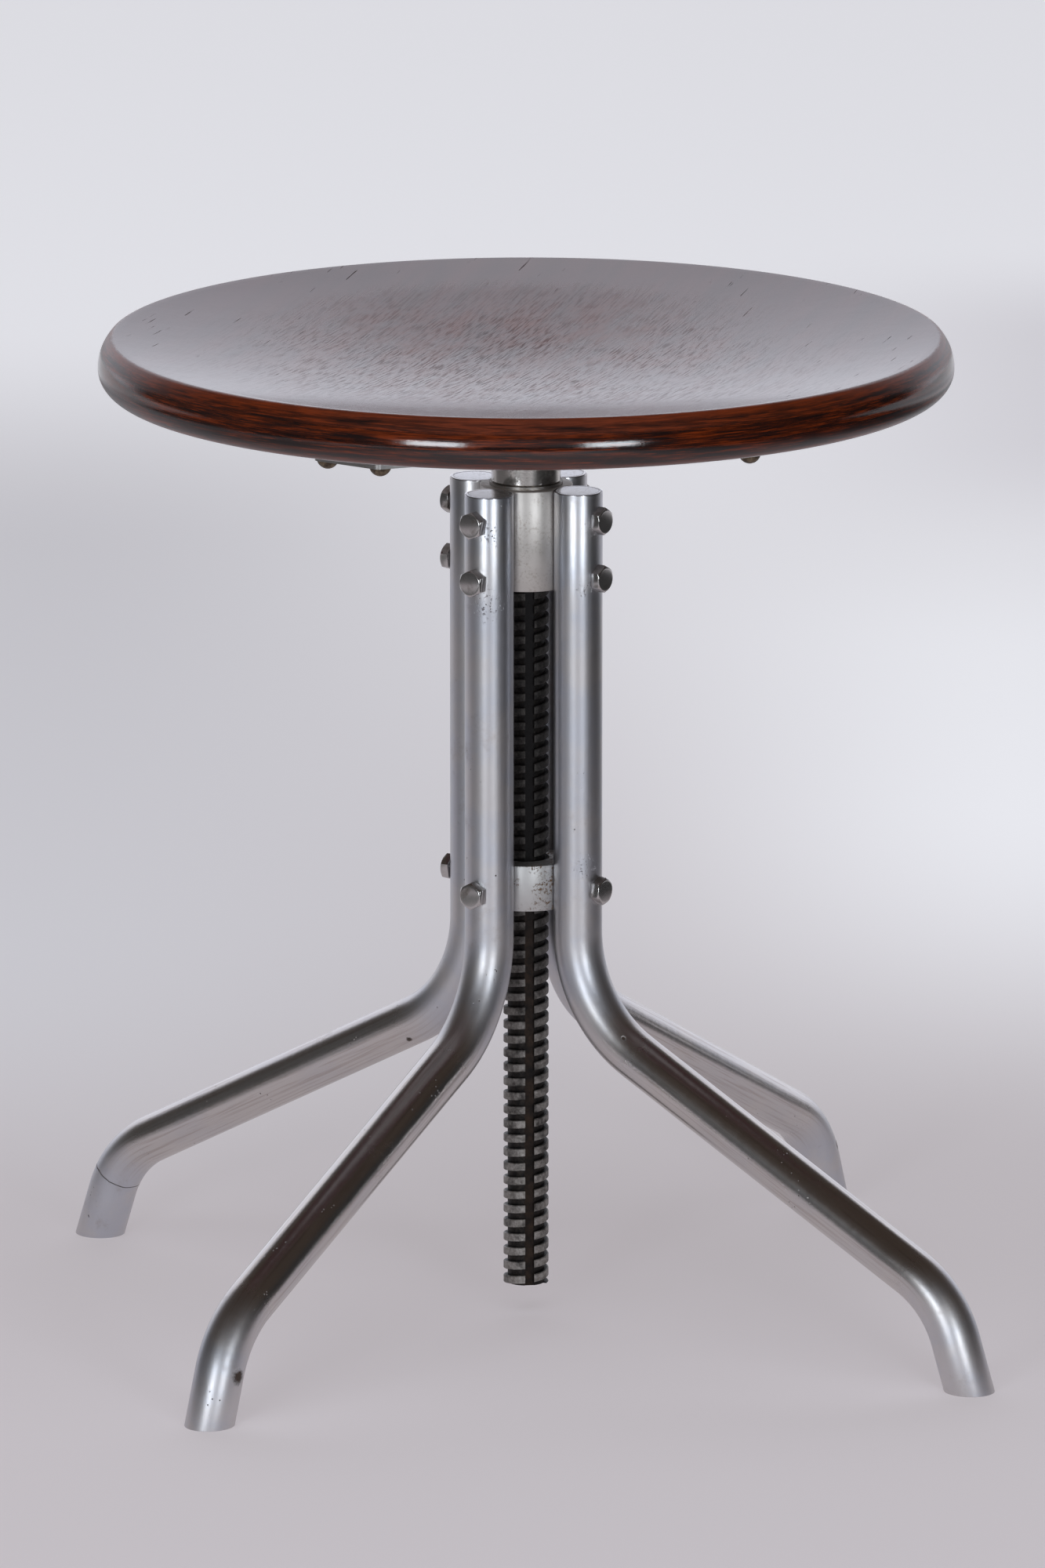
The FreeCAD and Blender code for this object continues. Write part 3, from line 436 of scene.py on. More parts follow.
def oily_thread_finish(name, s, crown):
    """Black oil in the thread, worn steel on its ridges towards the free end, brown grime in the keyway."""
    f = Finish(name)
    radius = f.reach()
    ridge = radius.smooth(crown - s.depth / 2, crown - 0.0002)
    cloud = f.noise(f.coords, 130.0, 4.0, 0.65)
    grit = f.noise(f.coords, 700.0, 3.0, 0.7)
    low_end = f.z.smooth(0.24, 0.03)
    worn = (ridge * (0.18 + low_end * 0.95) * cloud.smooth(0.25, 0.62)).clip()
    oil = f.blend(grit.smooth(0.35, 0.7), (0.010, 0.009, 0.009), (0.035, 0.029, 0.025))
    steel = f.blend(grit.smooth(0.3, 0.75), (0.20, 0.185, 0.17), (0.40, 0.385, 0.365))
    half, floor = s.keyway_width / 2, crown - s.keyway_depth
    between_walls = abs(f.x).smooth(half + 0.0001, half - 0.0001) * f.y.smooth(-0.0050, -0.0060)
    keyway = between_walls * radius.smooth(floor + 0.0007, floor + 0.0003)
    brown_tint = cloud.smooth(0.3, 0.7) * f.z.smooth(0.20, 0.14)
    grime = f.blend(brown_tint, (0.006, 0.005, 0.005), (0.034, 0.021, 0.014))
    f.set(colour=f.blend(keyway, f.blend(worn, oil, steel), grime), metal=0.75,
          rough=0.34 + grit * 0.22 + (1.0 - worn) * 0.06)
    f.bump(grit + cloud * 0.6, 0.35, 0.0003)
    return f.material


def browned_screw_finish(name):
    """Old wood screws: dark brown with rubbed highlights."""
    f = Finish(name)
    cloud = f.noise(f.coords, 350.0, 4.0, 0.65)
    colour = f.blend(cloud.smooth(0.35, 0.68), (0.055, 0.038, 0.026), (0.22, 0.165, 0.11))
    f.set(colour=colour, metal=0.7, rough=0.42 + cloud * 0.15)
    f.bump(cloud, 0.3, 0.0003)
    return f.material


def worn_top(f, s, scuff):
    """Colour, roughness and pores of the seat's top, which is rubbed dull and reddish in the middle."""
    sat_on_y = 0.092
    turn = (0.0, 0.0, -s.grain_turn)
    stain = tuple(s.stain)
    radius = f.reach()
    sat_on = f.reach(sat_on_y).smooth(0.145, 0.025) * radius.smooth(0.158, 0.120)
    inwards = 0.15 + radius.smooth(0.160, 0.050) * 0.85
    cloud = f.noise(f.coords, 16.0, 4.0, 0.6)
    pore = f.noise(f.stretched((75.0, 1250.0, 75.0), turn), 1.0, 3.0, 0.6).smooth(0.46, 0.64)
    pore = pore * (cloud.smooth(0.25, 0.60) * 0.34 + 0.10) * inwards
    split = f.noise(f.stretched((30.0, 700.0, 30.0), turn), 1.0, 2.0, 0.5).smooth(0.71, 0.75)
    pore = pore.most(split * cloud.smooth(0.40, 0.60))
    band = f.noise(f.stretched((6.0, 90.0, 6.0), turn), 1.0, 4.0, 0.6)
    patch = f.noise(f.stretched((26.0, 60.0, 26.0), turn), 1.0, 7.0, 0.78) * 0.8 + band * 0.2
    rubbed = (patch.smooth(0.34, 0.70) * inwards).clip()
    colour = f.blend(band.smooth(0.3, 0.7), tinted(stain, 0.75), tinted(stain, 1.25))
    colour = f.blend(rubbed, colour, tuple(s.worn))
    colour = f.blend(pore * 0.8, colour, tinted(stain, 0.3))
    rough = 0.07 + scuff * 0.08 + sat_on * 0.19 + rubbed * 0.10 + pore * 0.55
    return colour, rough, pore


def streaked_rim(f, s, low_z, widest, top_z, scuff):
    """Colour, roughness and streaks of the seat's rim: fine level layers, orange where they are rubbed."""
    worn = tuple(s.rim_worn)
    streak = f.noise(f.stretched((29.0, 29.0, 620.0)), 1.0, 5.0, 0.7, 0.2)
    fibre = f.noise(f.stretched((80.0, 80.0, 1900.0)), 1.0, 3.0, 0.65)
    height = f.z.smooth(low_z, top_z)
    colour = f.blend((streak + height * 0.10).smooth(0.45, 0.62), tuple(s.rim_dark), tuple(s.rim_brown))
    layers = streak * 0.5 + fibre * 0.5 + height * 0.06
    colour = f.blend(layers.smooth(0.52, 0.66) * 0.9, colour, worn)
    wobble = f.noise(f.coords, 90.0, 4.0, 0.65)
    upper_edge = (f.z + wobble * 0.0030).smooth(top_z - 0.0022, top_z + 0.0004)
    lower_edge = (f.z - wobble * 0.0012).smooth(low_z + 0.0026, low_z + 0.0008)
    rub = (upper_edge.most(lower_edge * 0.6) * (0.15 + fibre * 1.1)).clip()
    colour = f.blend(rub * 0.8, colour, worn)
    polish = f.z.smooth(widest - 0.0020, widest + 0.0005) * f.z.smooth(widest + 0.0075, widest + 0.0048)
    rough = 0.30 + scuff * 0.08 - polish * (0.28 - fibre * 0.10)
    return colour, rough, streak


def seat_wood_finish(name, s, crease_r, low_z, widest, top_z):
    """Dark stained wood under lacquer: an open-pored, worn top, a streaked rim with rubbed edges, and an
    underside darkened with painted shade.
    """
    f = Finish(name)
    scuff = f.noise(f.coords, 380.0, 3.0, 0.7)
    top, top_rough, pore = worn_top(f, s, scuff)
    rim, rim_rough, streak = streaked_rim(f, s, low_z, widest, top_z, scuff)
    ragged = f.noise(f.coords, 420.0, 3.0, 0.65) * 0.0024
    on_rim = (f.reach() + ragged).smooth(crease_r - 0.0002, crease_r + 0.0014)
    # The underside takes a plain stain without the top's wear, a little darker: painted shade under the
    # seat.
    under = f.z.smooth(low_z + 0.0004, low_z - 0.0006)
    colour = f.blend(under, f.blend(on_rim, top, rim), tinted(tuple(s.stain), 0.8))
    f.set(colour=colour, rough=top_rough * (1.0 - on_rim) + rim_rough * on_rim, ior=1.58)
    dents = f.noise(f.coords, 55.0, 3.0) * 0.6 + (streak * 0.35 + scuff * 0.20) * on_rim
    f.bump(dents + scuff * 0.06 - pore * 0.1, 0.15, 0.0006)
    return f.material


# Modelling helpers

def clear_selection():
    if bpy.context.object and bpy.context.object.mode != "OBJECT":
        bpy.ops.object.mode_set(mode="OBJECT")
    bpy.ops.object.select_all(action="DESELECT")


def pick(obj):
    """Makes an object the only selected one."""
    clear_selection()
    obj.select_set(True)
    bpy.context.view_layer.objects.active = obj
    return obj


def named(name):
    obj = bpy.context.object
    obj.name = name
    obj.data.name = name
    return obj


def directions(degrees):
    """Outwards and sideways in plan, at an angle round the screw's axis."""
    a = math.radians(degrees)
    return Vector((math.cos(a), math.sin(a), 0.0)), Vector((-math.sin(a), math.cos(a), 0.0))


def arc(centre, radius, start, end, count):
    """Points on an arc in a plane of radius and height."""
    out = []
    for i in range(count + 1):
        a = start + (end - start) * i / count
        out.append((centre[0] + radius * math.cos(a), centre[1] + radius * math.sin(a)))
    return out


def chain(name, points):
    """Edges through points: one vertex is extruded from each point to the next."""
    clear_selection()
    bpy.ops.mesh.primitive_plane_add(size=STARTER)
    obj = named(name)
    bpy.ops.object.mode_set(mode="EDIT")
    bpy.ops.mesh.select_all(action="SELECT")
    bpy.ops.mesh.merge(type="CENTER")
    points = [Vector(p) for p in points]
    bpy.ops.transform.translate(value=points[0])
    for start, end in zip(points, points[1:]):
        bpy.ops.mesh.extrude_vertices_move(TRANSFORM_OT_translate={"value": end - start})
    bpy.ops.object.mode_set(mode="OBJECT")
    return obj


def apply_modifier(obj, kind, **settings):
    pick(obj)
    modifier = obj.modifiers.new(kind.title(), kind)
    for key, value in settings.items():
        setattr(modifier, key, value)
    bpy.ops.object.modifier_apply(modifier=modifier.name)


def close_up(obj, smooth=35.0):
    """Merges doubles, turns the faces outwards and shades smooth up to an angle."""
    pick(obj)
    bpy.ops.object.mode_set(mode="EDIT")
    bpy.ops.mesh.select_all(action="SELECT")
    bpy.ops.mesh.remove_doubles(threshold=WELD)
    bpy.ops.mesh.normals_make_consistent(inside=False)
    bpy.ops.object.mode_set(mode="OBJECT")
    bpy.ops.object.shade_smooth_by_angle(angle=math.radians(smooth))
    return obj


def revolve(obj, steps, **settings):
    """Turns a chain of edges round Z with the Screw modifier."""
    apply_modifier(obj, "SCREW", axis="Z", angle=2 * math.pi, steps=steps, render_steps=steps,
                   use_merge_vertices=True, merge_threshold=WELD, **settings)
    return obj


def lathe(name, profile, steps):
    """A profile of radius and height turned once round Z."""
    return close_up(revolve(chain(name, [(r, 0.0, z) for r, z in profile]), steps))


def cylinder(name, radius, low, high, sides, centre=(0.0, 0.0)):
    clear_selection()
    bpy.ops.mesh.primitive_cylinder_add(vertices=sides, radius=radius, depth=high - low,
                                        location=(*centre, (low + high) / 2))
    bpy.ops.object.transform_apply(location=True, rotation=True, scale=True)
    return named(name)


def place(obj, matrix):
    """Moves an object's mesh by a matrix, through its transform."""
    pick(obj)
    obj.matrix_world = matrix
    bpy.ops.object.transform_apply(location=True, rotation=True, scale=True)
    return obj


def cutting_bar(name, centre, size):
    """A box of a size round a centre, to cut a groove with."""
    clear_selection()
    bpy.ops.mesh.primitive_cube_add(size=1.0)
    return place(named(name), Matrix.Translation(centre) @ Matrix.Diagonal((*size, 1.0)))


def cut(obj, tool, operation="DIFFERENCE"):
    """Cuts an object with another, which is then deleted."""
    apply_modifier(obj, "BOOLEAN", object=tool, operation=operation, solver="EXACT")
    bpy.data.objects.remove(tool)
    return obj


def soften(obj, width, angle=40.0):
    """Rounds the edges that are sharper than an angle."""
    apply_modifier(obj, "BEVEL", width=width, segments=2, limit_method="ANGLE",
                   angle_limit=math.radians(angle), harden_normals=False)
    return close_up(obj, smooth=32.0)


def copy_of(obj):
    twin = obj.copy()
    twin.data = obj.data.copy()
    bpy.context.collection.objects.link(twin)
    return twin


def join(name, objects):
    pick(objects[0])
    for obj in objects:
        obj.select_set(True)
    bpy.ops.object.join()
    return named(name)


def paint(obj, material):
    obj.data.materials.clear()
    obj.data.materials.append(material)


def repaint(node, material):
    """Gives a node of the frame, whose shape stays, a better finish."""
    paint(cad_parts[node], material)


def dress(obj, material, body, node):
    """Gives a piece its finish and its body, and hides the node of the frame that it stands for."""
    paint(obj, material)
    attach(obj, body)
    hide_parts(node)


class LegLine:
    """The centre line of a leg, by radius and height: upright, knee, slanted run, ankle and foot."""

    def __init__(self, s, top):
        slant = Vector((s.ankle_radius - s.leg_circle, s.ankle_height - s.knee_height))
        tread = Vector((s.foot_radius - s.ankle_radius, -s.ankle_height))
        self.sizes = s
        self.top = top
        self.run = slant.normalized()
        self.foot = tread.normalized()
        self.knee_turn = math.acos(-self.run.y)
        self.ankle_turn = math.acos(self.run.dot(self.foot))
        knee_cut = s.knee_bend * math.tan(self.knee_turn / 2)
        ankle_cut = s.ankle_bend * math.tan(self.ankle_turn / 2)
        self.upright_length = top - s.knee_height - knee_cut
        self.run_length = slant.length - knee_cut - ankle_cut
        self.foot_length = tread.length - ankle_cut
        self.ankle_at = self.upright_length + s.knee_bend * self.knee_turn + self.run_length
        self.knee_centre = Vector((s.leg_circle + s.knee_bend, s.knee_height + knee_cut))
        ankle_start = Vector((s.ankle_radius, s.ankle_height)) - self.run * ankle_cut
        self.ankle_centre = ankle_start + Vector((self.run.y, -self.run.x)) * s.ankle_bend

    def straightened(self, r, z):
        """How far a point lies outwards of the line, and how far along it from the top."""
        s = self.sizes
        knee_arm = Vector((r, z)) - self.knee_centre
        ankle_arm = Vector((r, z)) - self.ankle_centre
        knee_angle = math.atan2(-knee_arm.y, -knee_arm.x)
        ankle_angle = math.atan2(ankle_arm.x, ankle_arm.y)
        slope = math.atan2(-self.run.y, self.run.x)
        if knee_arm.y >= 0.0:
            return r - s.leg_circle, self.top - z
        if knee_angle <= self.knee_turn:
            return s.knee_bend - knee_arm.length, self.upright_length + s.knee_bend * knee_angle
        if ankle_angle <= slope:
            outward = ankle_arm.dot((-self.run.y, self.run.x)) - s.ankle_bend
            return outward, self.ankle_at + ankle_arm.dot(self.run)
        return ankle_arm.length - s.ankle_bend, self.ankle_at + s.ankle_bend * (ankle_angle - slope)


# Operators

class STOOL_OT_legs(bpy.types.Operator):
    """Bend the four leg tubes"""
    bl_idname = "stool.legs"
    bl_label = "Leg tubes"

    def execute(self, context):
        s = context.scene.stool_stand
        # Centre and radius of each chip in the plating and of each rust stain beside a bolt.
        chips = {
            "front_left": (((-0.1441, -0.1582, 0.0201), 0.0028),),
            "front_right": (((0.0330, -0.0435, 0.1248), 0.0009),),
            "rear_left": (((-0.0433, 0.0333, 0.1089), 0.0012),),
            "rear_right": (((0.159, 0.148, 0.0271), 0.0020),),
        }
        stains = {
            "front_left": (((-0.0205, -0.0282, 0.3340), 0.007), ((-0.0215, -0.0278, 0.3045), 0.010)),
            "front_right": (((0.0243, -0.0265, 0.3335), 0.007), ((0.0194, -0.0283, 0.3103), 0.005),
                            ((0.0202, -0.0282, 0.1935), 0.007)),
        }
        # Place of a hairline crack, along the tube from its top.
        cracks = {"rear_left": 0.4235}
        plug_steel = turned_steel_finish("plug_steel", (0.68, 0.68, 0.70), rust=0.15, lines=0.02,
                                         satin=0.10)
        for corner, degrees in LEG_ANGLES.items():
            leg = self.tube(s, "leg_tube_" + corner, degrees)
            finish = plated_tube_finish("plated_" + corner, tuple(s.plating), chips[corner],
                                        stains.get(corner, ()), cracks.get(corner))
            dress(leg, finish, "stand", "leg_" + corner)
            repaint("leg_plug_" + corner, plug_steel)
        return {"FINISHED"}

    def tube(self, s, name, degrees):
        """A ring drawn down the upright, spun round the knee, drawn out, spun again and cut level."""
        out, side = directions(degrees)
        line = LegLine(s, NUT_BOX[1].z)

        def point(p):
            """A point of the leg's plane, by radius and height, in space."""
            return out * p[0] + Vector((0.0, 0.0, p[1]))

        clear_selection()
        bpy.ops.mesh.primitive_circle_add(vertices=s.tube_sides, radius=s.tube_radius,
                                          location=point((s.leg_circle, line.top)))
        bpy.ops.object.transform_apply(location=True, rotation=True, scale=True)
        obj = named(name)
        bpy.ops.object.mode_set(mode="EDIT")
        bpy.ops.mesh.select_all(action="SELECT")
        self.draw_out(Vector((0.0, 0.0, -line.upright_length)), STRAIGHT_PARTS)
        bpy.ops.mesh.spin(steps=22, angle=line.knee_turn, center=point(line.knee_centre), axis=side)
        self.draw_out(point(line.run) * line.run_length, STRAIGHT_PARTS)
        bpy.ops.mesh.spin(steps=18, angle=line.ankle_turn, center=point(line.ankle_centre), axis=-side)
        past_floor = s.tube_radius * 0.8
        self.draw_out(point(line.foot) * (line.foot_length + past_floor), 1)
        bpy.ops.mesh.select_all(action="SELECT")
        bpy.ops.mesh.bisect(plane_co=(0.0, 0.0, 0.0), plane_no=(0.0, 0.0, 1.0), clear_inner=True,
                            use_fill=False)
        bpy.ops.object.mode_set(mode="OBJECT")
        close_up(obj)
        apply_modifier(obj, "SOLIDIFY", thickness=s.tube_wall, offset=-1.0, use_even_offset=True)
        soften(obj, TUBE_EDGE, angle=50.0)
        self.level_foot(obj)
        self.unbend(obj, line, out, side)
        return obj

    def draw_out(self, vector, parts):
        for _ in range(parts):
            bpy.ops.mesh.extrude_region_move(TRANSFORM_OT_translate={"value": vector / parts})

    def level_foot(self, obj):
        """Presses what lies under the floor, or touches it, flat onto it."""
        touching = 0.00005
        pick(obj)
        bpy.ops.object.mode_set(mode="EDIT")
        bpy.ops.mesh.select_mode(type="VERT")
        bpy.ops.mesh.select_all(action="DESELECT")
        bpy.ops.object.mode_set(mode="OBJECT")
        for vertex in obj.data.vertices:
            vertex.select = vertex.co.z < touching
        bpy.ops.object.mode_set(mode="EDIT")
        bpy.ops.transform.resize(value=(1.0, 1.0, 0.0), center_override=(0.0, 0.0, 0.0))
        bpy.ops.object.mode_set(mode="OBJECT")

    def unbend(self, obj, line, out, side):
        """Stores where each vertex would lie if its tube were straight: across, across and along it."""
        places = []
        for vertex in obj.data.vertices:
            outward, along = line.straightened(vertex.co.dot(out), vertex.co.z)
            places += [outward, vertex.co.dot(side), along]
        layer = obj.data.attributes.new("unbent", "FLOAT_VECTOR", "POINT")
        layer.data.foreach_set("vector", places)


class STOOL_OT_blocks(bpy.types.Operator):
    """Model the fluted nut and the guide collar"""
    bl_idname = "stool.blocks"
    bl_label = "Nut and collar"

    def execute(self, context):
        s = context.scene.stool_stand
        nut_steel = turned_steel_finish("nut_steel", tuple(s.bare_steel), rust=0.25, lines=0.05, satin=0.36)
        collar_steel = turned_steel_finish("collar_plating", (0.62, 0.61, 0.60), rust=1.0, lines=0.03,
                                           satin=0.42)
        # The washer under the hub is coloured dark; it gives the dark line between hub and nut.
        dark_washer = turned_steel_finish("dark_washer", (0.30, 0.28, 0.26), rust=0.5, lines=0.05)
        for name, node, box, finish in (("fluted_nut", "screw_nut", NUT_BOX, nut_steel),
                                        ("fluted_collar", "guide_collar", COLLAR_BOX, collar_steel)):
            low, high = box[0].z, box[1].z
            below, above = low - OVERRUN, high + OVERRUN
            block = cylinder(name, s.block_radius, low, high, sides=128)
            cut(block, cylinder("bore", s.block_bore, below, above, sides=64))
            for degrees in LEG_ANGLES.values():
                upright = directions(degrees)[0] * s.leg_circle
                cut(block, cylinder("flute", s.tube_radius + SLIP, below, above, sides=96,
                                    centre=upright.xy))
            soften(block, BLOCK_EDGE)
            dress(block, finish, "stand", node)
        repaint("friction_washer", dark_washer)
        return {"FINISHED"}


class STOOL_OT_bolts(bpy.types.Operator):
    """Model the hexagon bolts"""
    bl_idname = "stool.bolts"
    bl_label = "Hexagon bolts"

    def execute(self, context):
        s = context.scene.stool_stand
        seat_at = s.leg_circle + s.tube_radius
        head = self.head(s)
        finish = bolt_finish("bolt_steel")
        rng = random.Random(BOLT_SEED)
        for node in BOLT_ROWS:
            low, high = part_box(node)
            level = (low.z + high.z) / 2
            row = []
            for degrees in LEG_ANGLES.values():
                turn = Matrix.Rotation(math.radians(degrees), 4, "Z")
                shift = Matrix.Translation((seat_at, 0.0, level))
                lay = Matrix.Rotation(math.radians(90), 4, "Y")
                spin = Matrix.Rotation(math.pi / 6 + rng.uniform(-BOLT_SLACK, BOLT_SLACK), 4, "Z")
                row.append(place(copy_of(head), turn @ shift @ lay @ spin))
            dress(join("row_of_" + node, row), finish, "stand", node)
        bpy.data.objects.remove(head)
        return {"FINISHED"}

    def head(self, s):
        """A hexagon trimmed to a turned, slightly domed blank, on its shank."""
        corner, flat, top = s.bolt_flats / math.sqrt(3), s.bolt_flats / 2, s.bolt_head
        below, wide = -0.002, corner * 1.02
        chamfer, dome = 0.0009, 0.00015
        head = cylinder("hexagon", corner, 0.0, top, sides=6)
        blank = lathe("blank", [(0.0, below), (wide, below), (wide, top - chamfer),
                                (flat * 0.97, top - dome), (flat * 0.8, top), (0.0, top)], steps=48)
        cut(head, blank, "INTERSECT")
        soften(head, BOLT_EDGE, angle=20.0)
        shank = cylinder("shank", s.bolt_shank, -s.bolt_reach, LAP, sides=24)
        return join("bolt", [head, shank])


class STOOL_OT_spindle(bpy.types.Operator):
    """Model the square-threaded screw with its keyway"""
    bl_idname = "stool.spindle"
    bl_label = "Screw spindle"

    def execute(self, context):
        s = context.scene.stool_screw
        low, shoulder, high = SPINDLE_BOX[0].z, HUB_BOX[0].z, SPINDLE_BOX[1].z
        crown = SPINDLE_BOX[1].x
        thread = self.thread(s, crown, low, shoulder)
        floor = crown - s.keyway_depth
        bar_depth = 0.010
        cut(thread, cutting_bar("key", (0.0, -floor - bar_depth / 2, (low + shoulder) / 2),
                                (s.keyway_width, bar_depth, shoulder - low + OVERRUN * 2)))
        close_up(thread, smooth=40.0)
        spigot = cylinder("spigot", s.spigot, shoulder - LAP * 2, high, sides=48)
        screw = join("threaded_spindle", [thread, spigot])
        dress(screw, oily_thread_finish("oily_thread", s, crown), "seat", "screw_spindle")
        return {"FINISHED"}

    def thread(self, s, crown, low, shoulder):
        """One turn's profile wound past both ends of the screw and cut level there."""
        root, edge = crown - s.depth, s.edge
        spare_turns = 3
        turns = int((shoulder - low) / s.pitch) + spare_turns
        start = low - s.pitch * spare_turns / 2
        end = start + s.ridge
        profile = ((root, start), (crown - edge, start), (crown, start + edge), (crown, end - edge),
                   (crown - edge, end), (root, end), (root, start + s.pitch))
        thread = chain("square_thread", [(r, 0.0, z) for r, z in profile])
        revolve(thread, s.steps, screw_offset=s.pitch, iterations=turns)
        pick(thread)
        bpy.ops.object.mode_set(mode="EDIT")
        bpy.ops.mesh.select_all(action="SELECT")
        bpy.ops.mesh.remove_doubles(threshold=WELD)
        for level, inner in ((low, True), (shoulder, False)):
            bpy.ops.mesh.select_all(action="SELECT")
            bpy.ops.mesh.bisect(plane_co=(0, 0, level), plane_no=(0, 0, 1), clear_inner=inner,
                                clear_outer=not inner, use_fill=True)
        bpy.ops.object.mode_set(mode="OBJECT")
        return close_up(thread, smooth=40.0)


class STOOL_OT_carrier(bpy.types.Operator):
    """Model the hub and the seat screws, and give the seat plate a new finish"""
    bl_idname = "stool.carrier"
    bl_label = "Hub, plate and screws"

    def execute(self, context):
        self.hub(context.scene.stool_screw, tuple(context.scene.stool_stand.bare_steel))
        repaint("seat_plate", turned_steel_finish("plate_steel", (0.40, 0.39, 0.38), rust=0.4, lines=0.0))
        self.screws(context.scene.stool_seat)
        return {"FINISHED"}

    def hub(self, s, steel):
        radius, low, high = HUB_BOX[1].x, HUB_BOX[0].z, HUB_BOX[1].z
        bore, chamfer = s.spigot + SLIP, s.hub_chamfer
        hub = lathe("turned_hub", [(bore, low), (radius - chamfer, low), (radius, low + chamfer),
                                   (radius, high), (bore, high), (bore, low)], steps=96)
        finish = turned_steel_finish("hub_steel", steel, rust=0.2, lines=0.08, satin=0.09)
        dress(hub, finish, "seat", "seat_hub")

    def screws(self, s):
        """A pair at each corner of the plate, but only one at the front right."""
        head = self.screw(s)
        screws = []
        rng = random.Random(SCREW_SEED)
        for corner, degrees in LEG_ANGLES.items():
            out, across = directions(degrees)
            for side in (-1,) if corner == "front_right" else (-1, 1):
                at = out * s.screw_radius + across * (side * s.screw_spread / 2)
                at.z = PLATE_BOX[0].z
                turn = Matrix.Rotation(rng.uniform(0, math.pi), 4, "Z")
                screws.append(place(copy_of(head), Matrix.Translation(at) @ turn))
        bpy.data.objects.remove(head)
        screws = join("round_head_screws", screws)
        dress(screws, browned_screw_finish("browned_screws"), "seat", "seat_screws")

    def screw(self, s):
        """A domed head with a driver's slot and a short pointed shank, hanging under the plate."""
        r, h, shank = s.screw_head, s.screw_rise, s.screw_shank
        point_length = 0.002
        dome = (r * r + h * h) / (2 * h)
        rim = math.atan2(h - dome, r)
        points = arc((0.0, dome - h), dome, -math.pi / 2, rim, count=12)
        points += [(shank, 0.0), (shank, s.screw_reach), (0.0, s.screw_reach + point_length)]
        head = lathe("dome", points, steps=40)
        cut(head, cutting_bar("blade", (0.0, 0.0, -h), (s.slot_width, 4 * r, s.slot_depth * 2)))
        return soften(head, SLOT_EDGE)


class STOOL_OT_seat(bpy.types.Operator):
    """Turn the dished seat"""
    bl_idname = "stool.seat"
    bl_label = "Seat"

    def execute(self, context):
        s = context.scene.stool_seat
        radius, low = SEAT_BOX[1].x, SEAT_BOX[0].z
        widest = low + s.rim_rise
        rim = arc((radius - s.rim_lower, widest), s.rim_lower, -s.rim_low, 0.0, count=14)
        rim += arc((radius - s.rim_upper, widest), s.rim_upper, 0.0, s.rim_top, count=14)[1:]
        edge_r, edge_z = rim[-1]
        dish_r = (edge_r ** 2 + s.dish_depth ** 2) / (2 * s.dish_depth)
        slope = math.asin(edge_r / dish_r)
        bottom = -math.pi / 2
        dish = arc((0.0, edge_z - s.dish_depth + dish_r), dish_r, bottom + slope, bottom, count=40)
        worn = self.round_corner(rim[-2], rim[-1], dish[1], s.crease)
        under_rings = 6
        under = [(s.flat_radius * i / under_rings, low) for i in range(under_rings + 1)]
        seat = lathe("dished_seat", under + rim[:-1] + worn + dish[1:], s.sides)
        finish = seat_wood_finish("stained_seat", s, edge_r, rim[0][1], widest, edge_z)
        dress(seat, finish, "seat", "seat_board")
        return {"FINISHED"}

    def round_corner(self, before, corner, after, size, count=5):
        """Points of a small quadratic curve in place of a sharp corner."""
        c = Vector(corner)
        a = c + (Vector(before) - c).normalized() * size
        b = c + (Vector(after) - c).normalized() * size
        out = []
        for i in range(count + 1):
            t = i / count
            out.append(tuple(a * (1 - t) ** 2 + c * (2 * t * (1 - t)) + b * t ** 2))
        return out


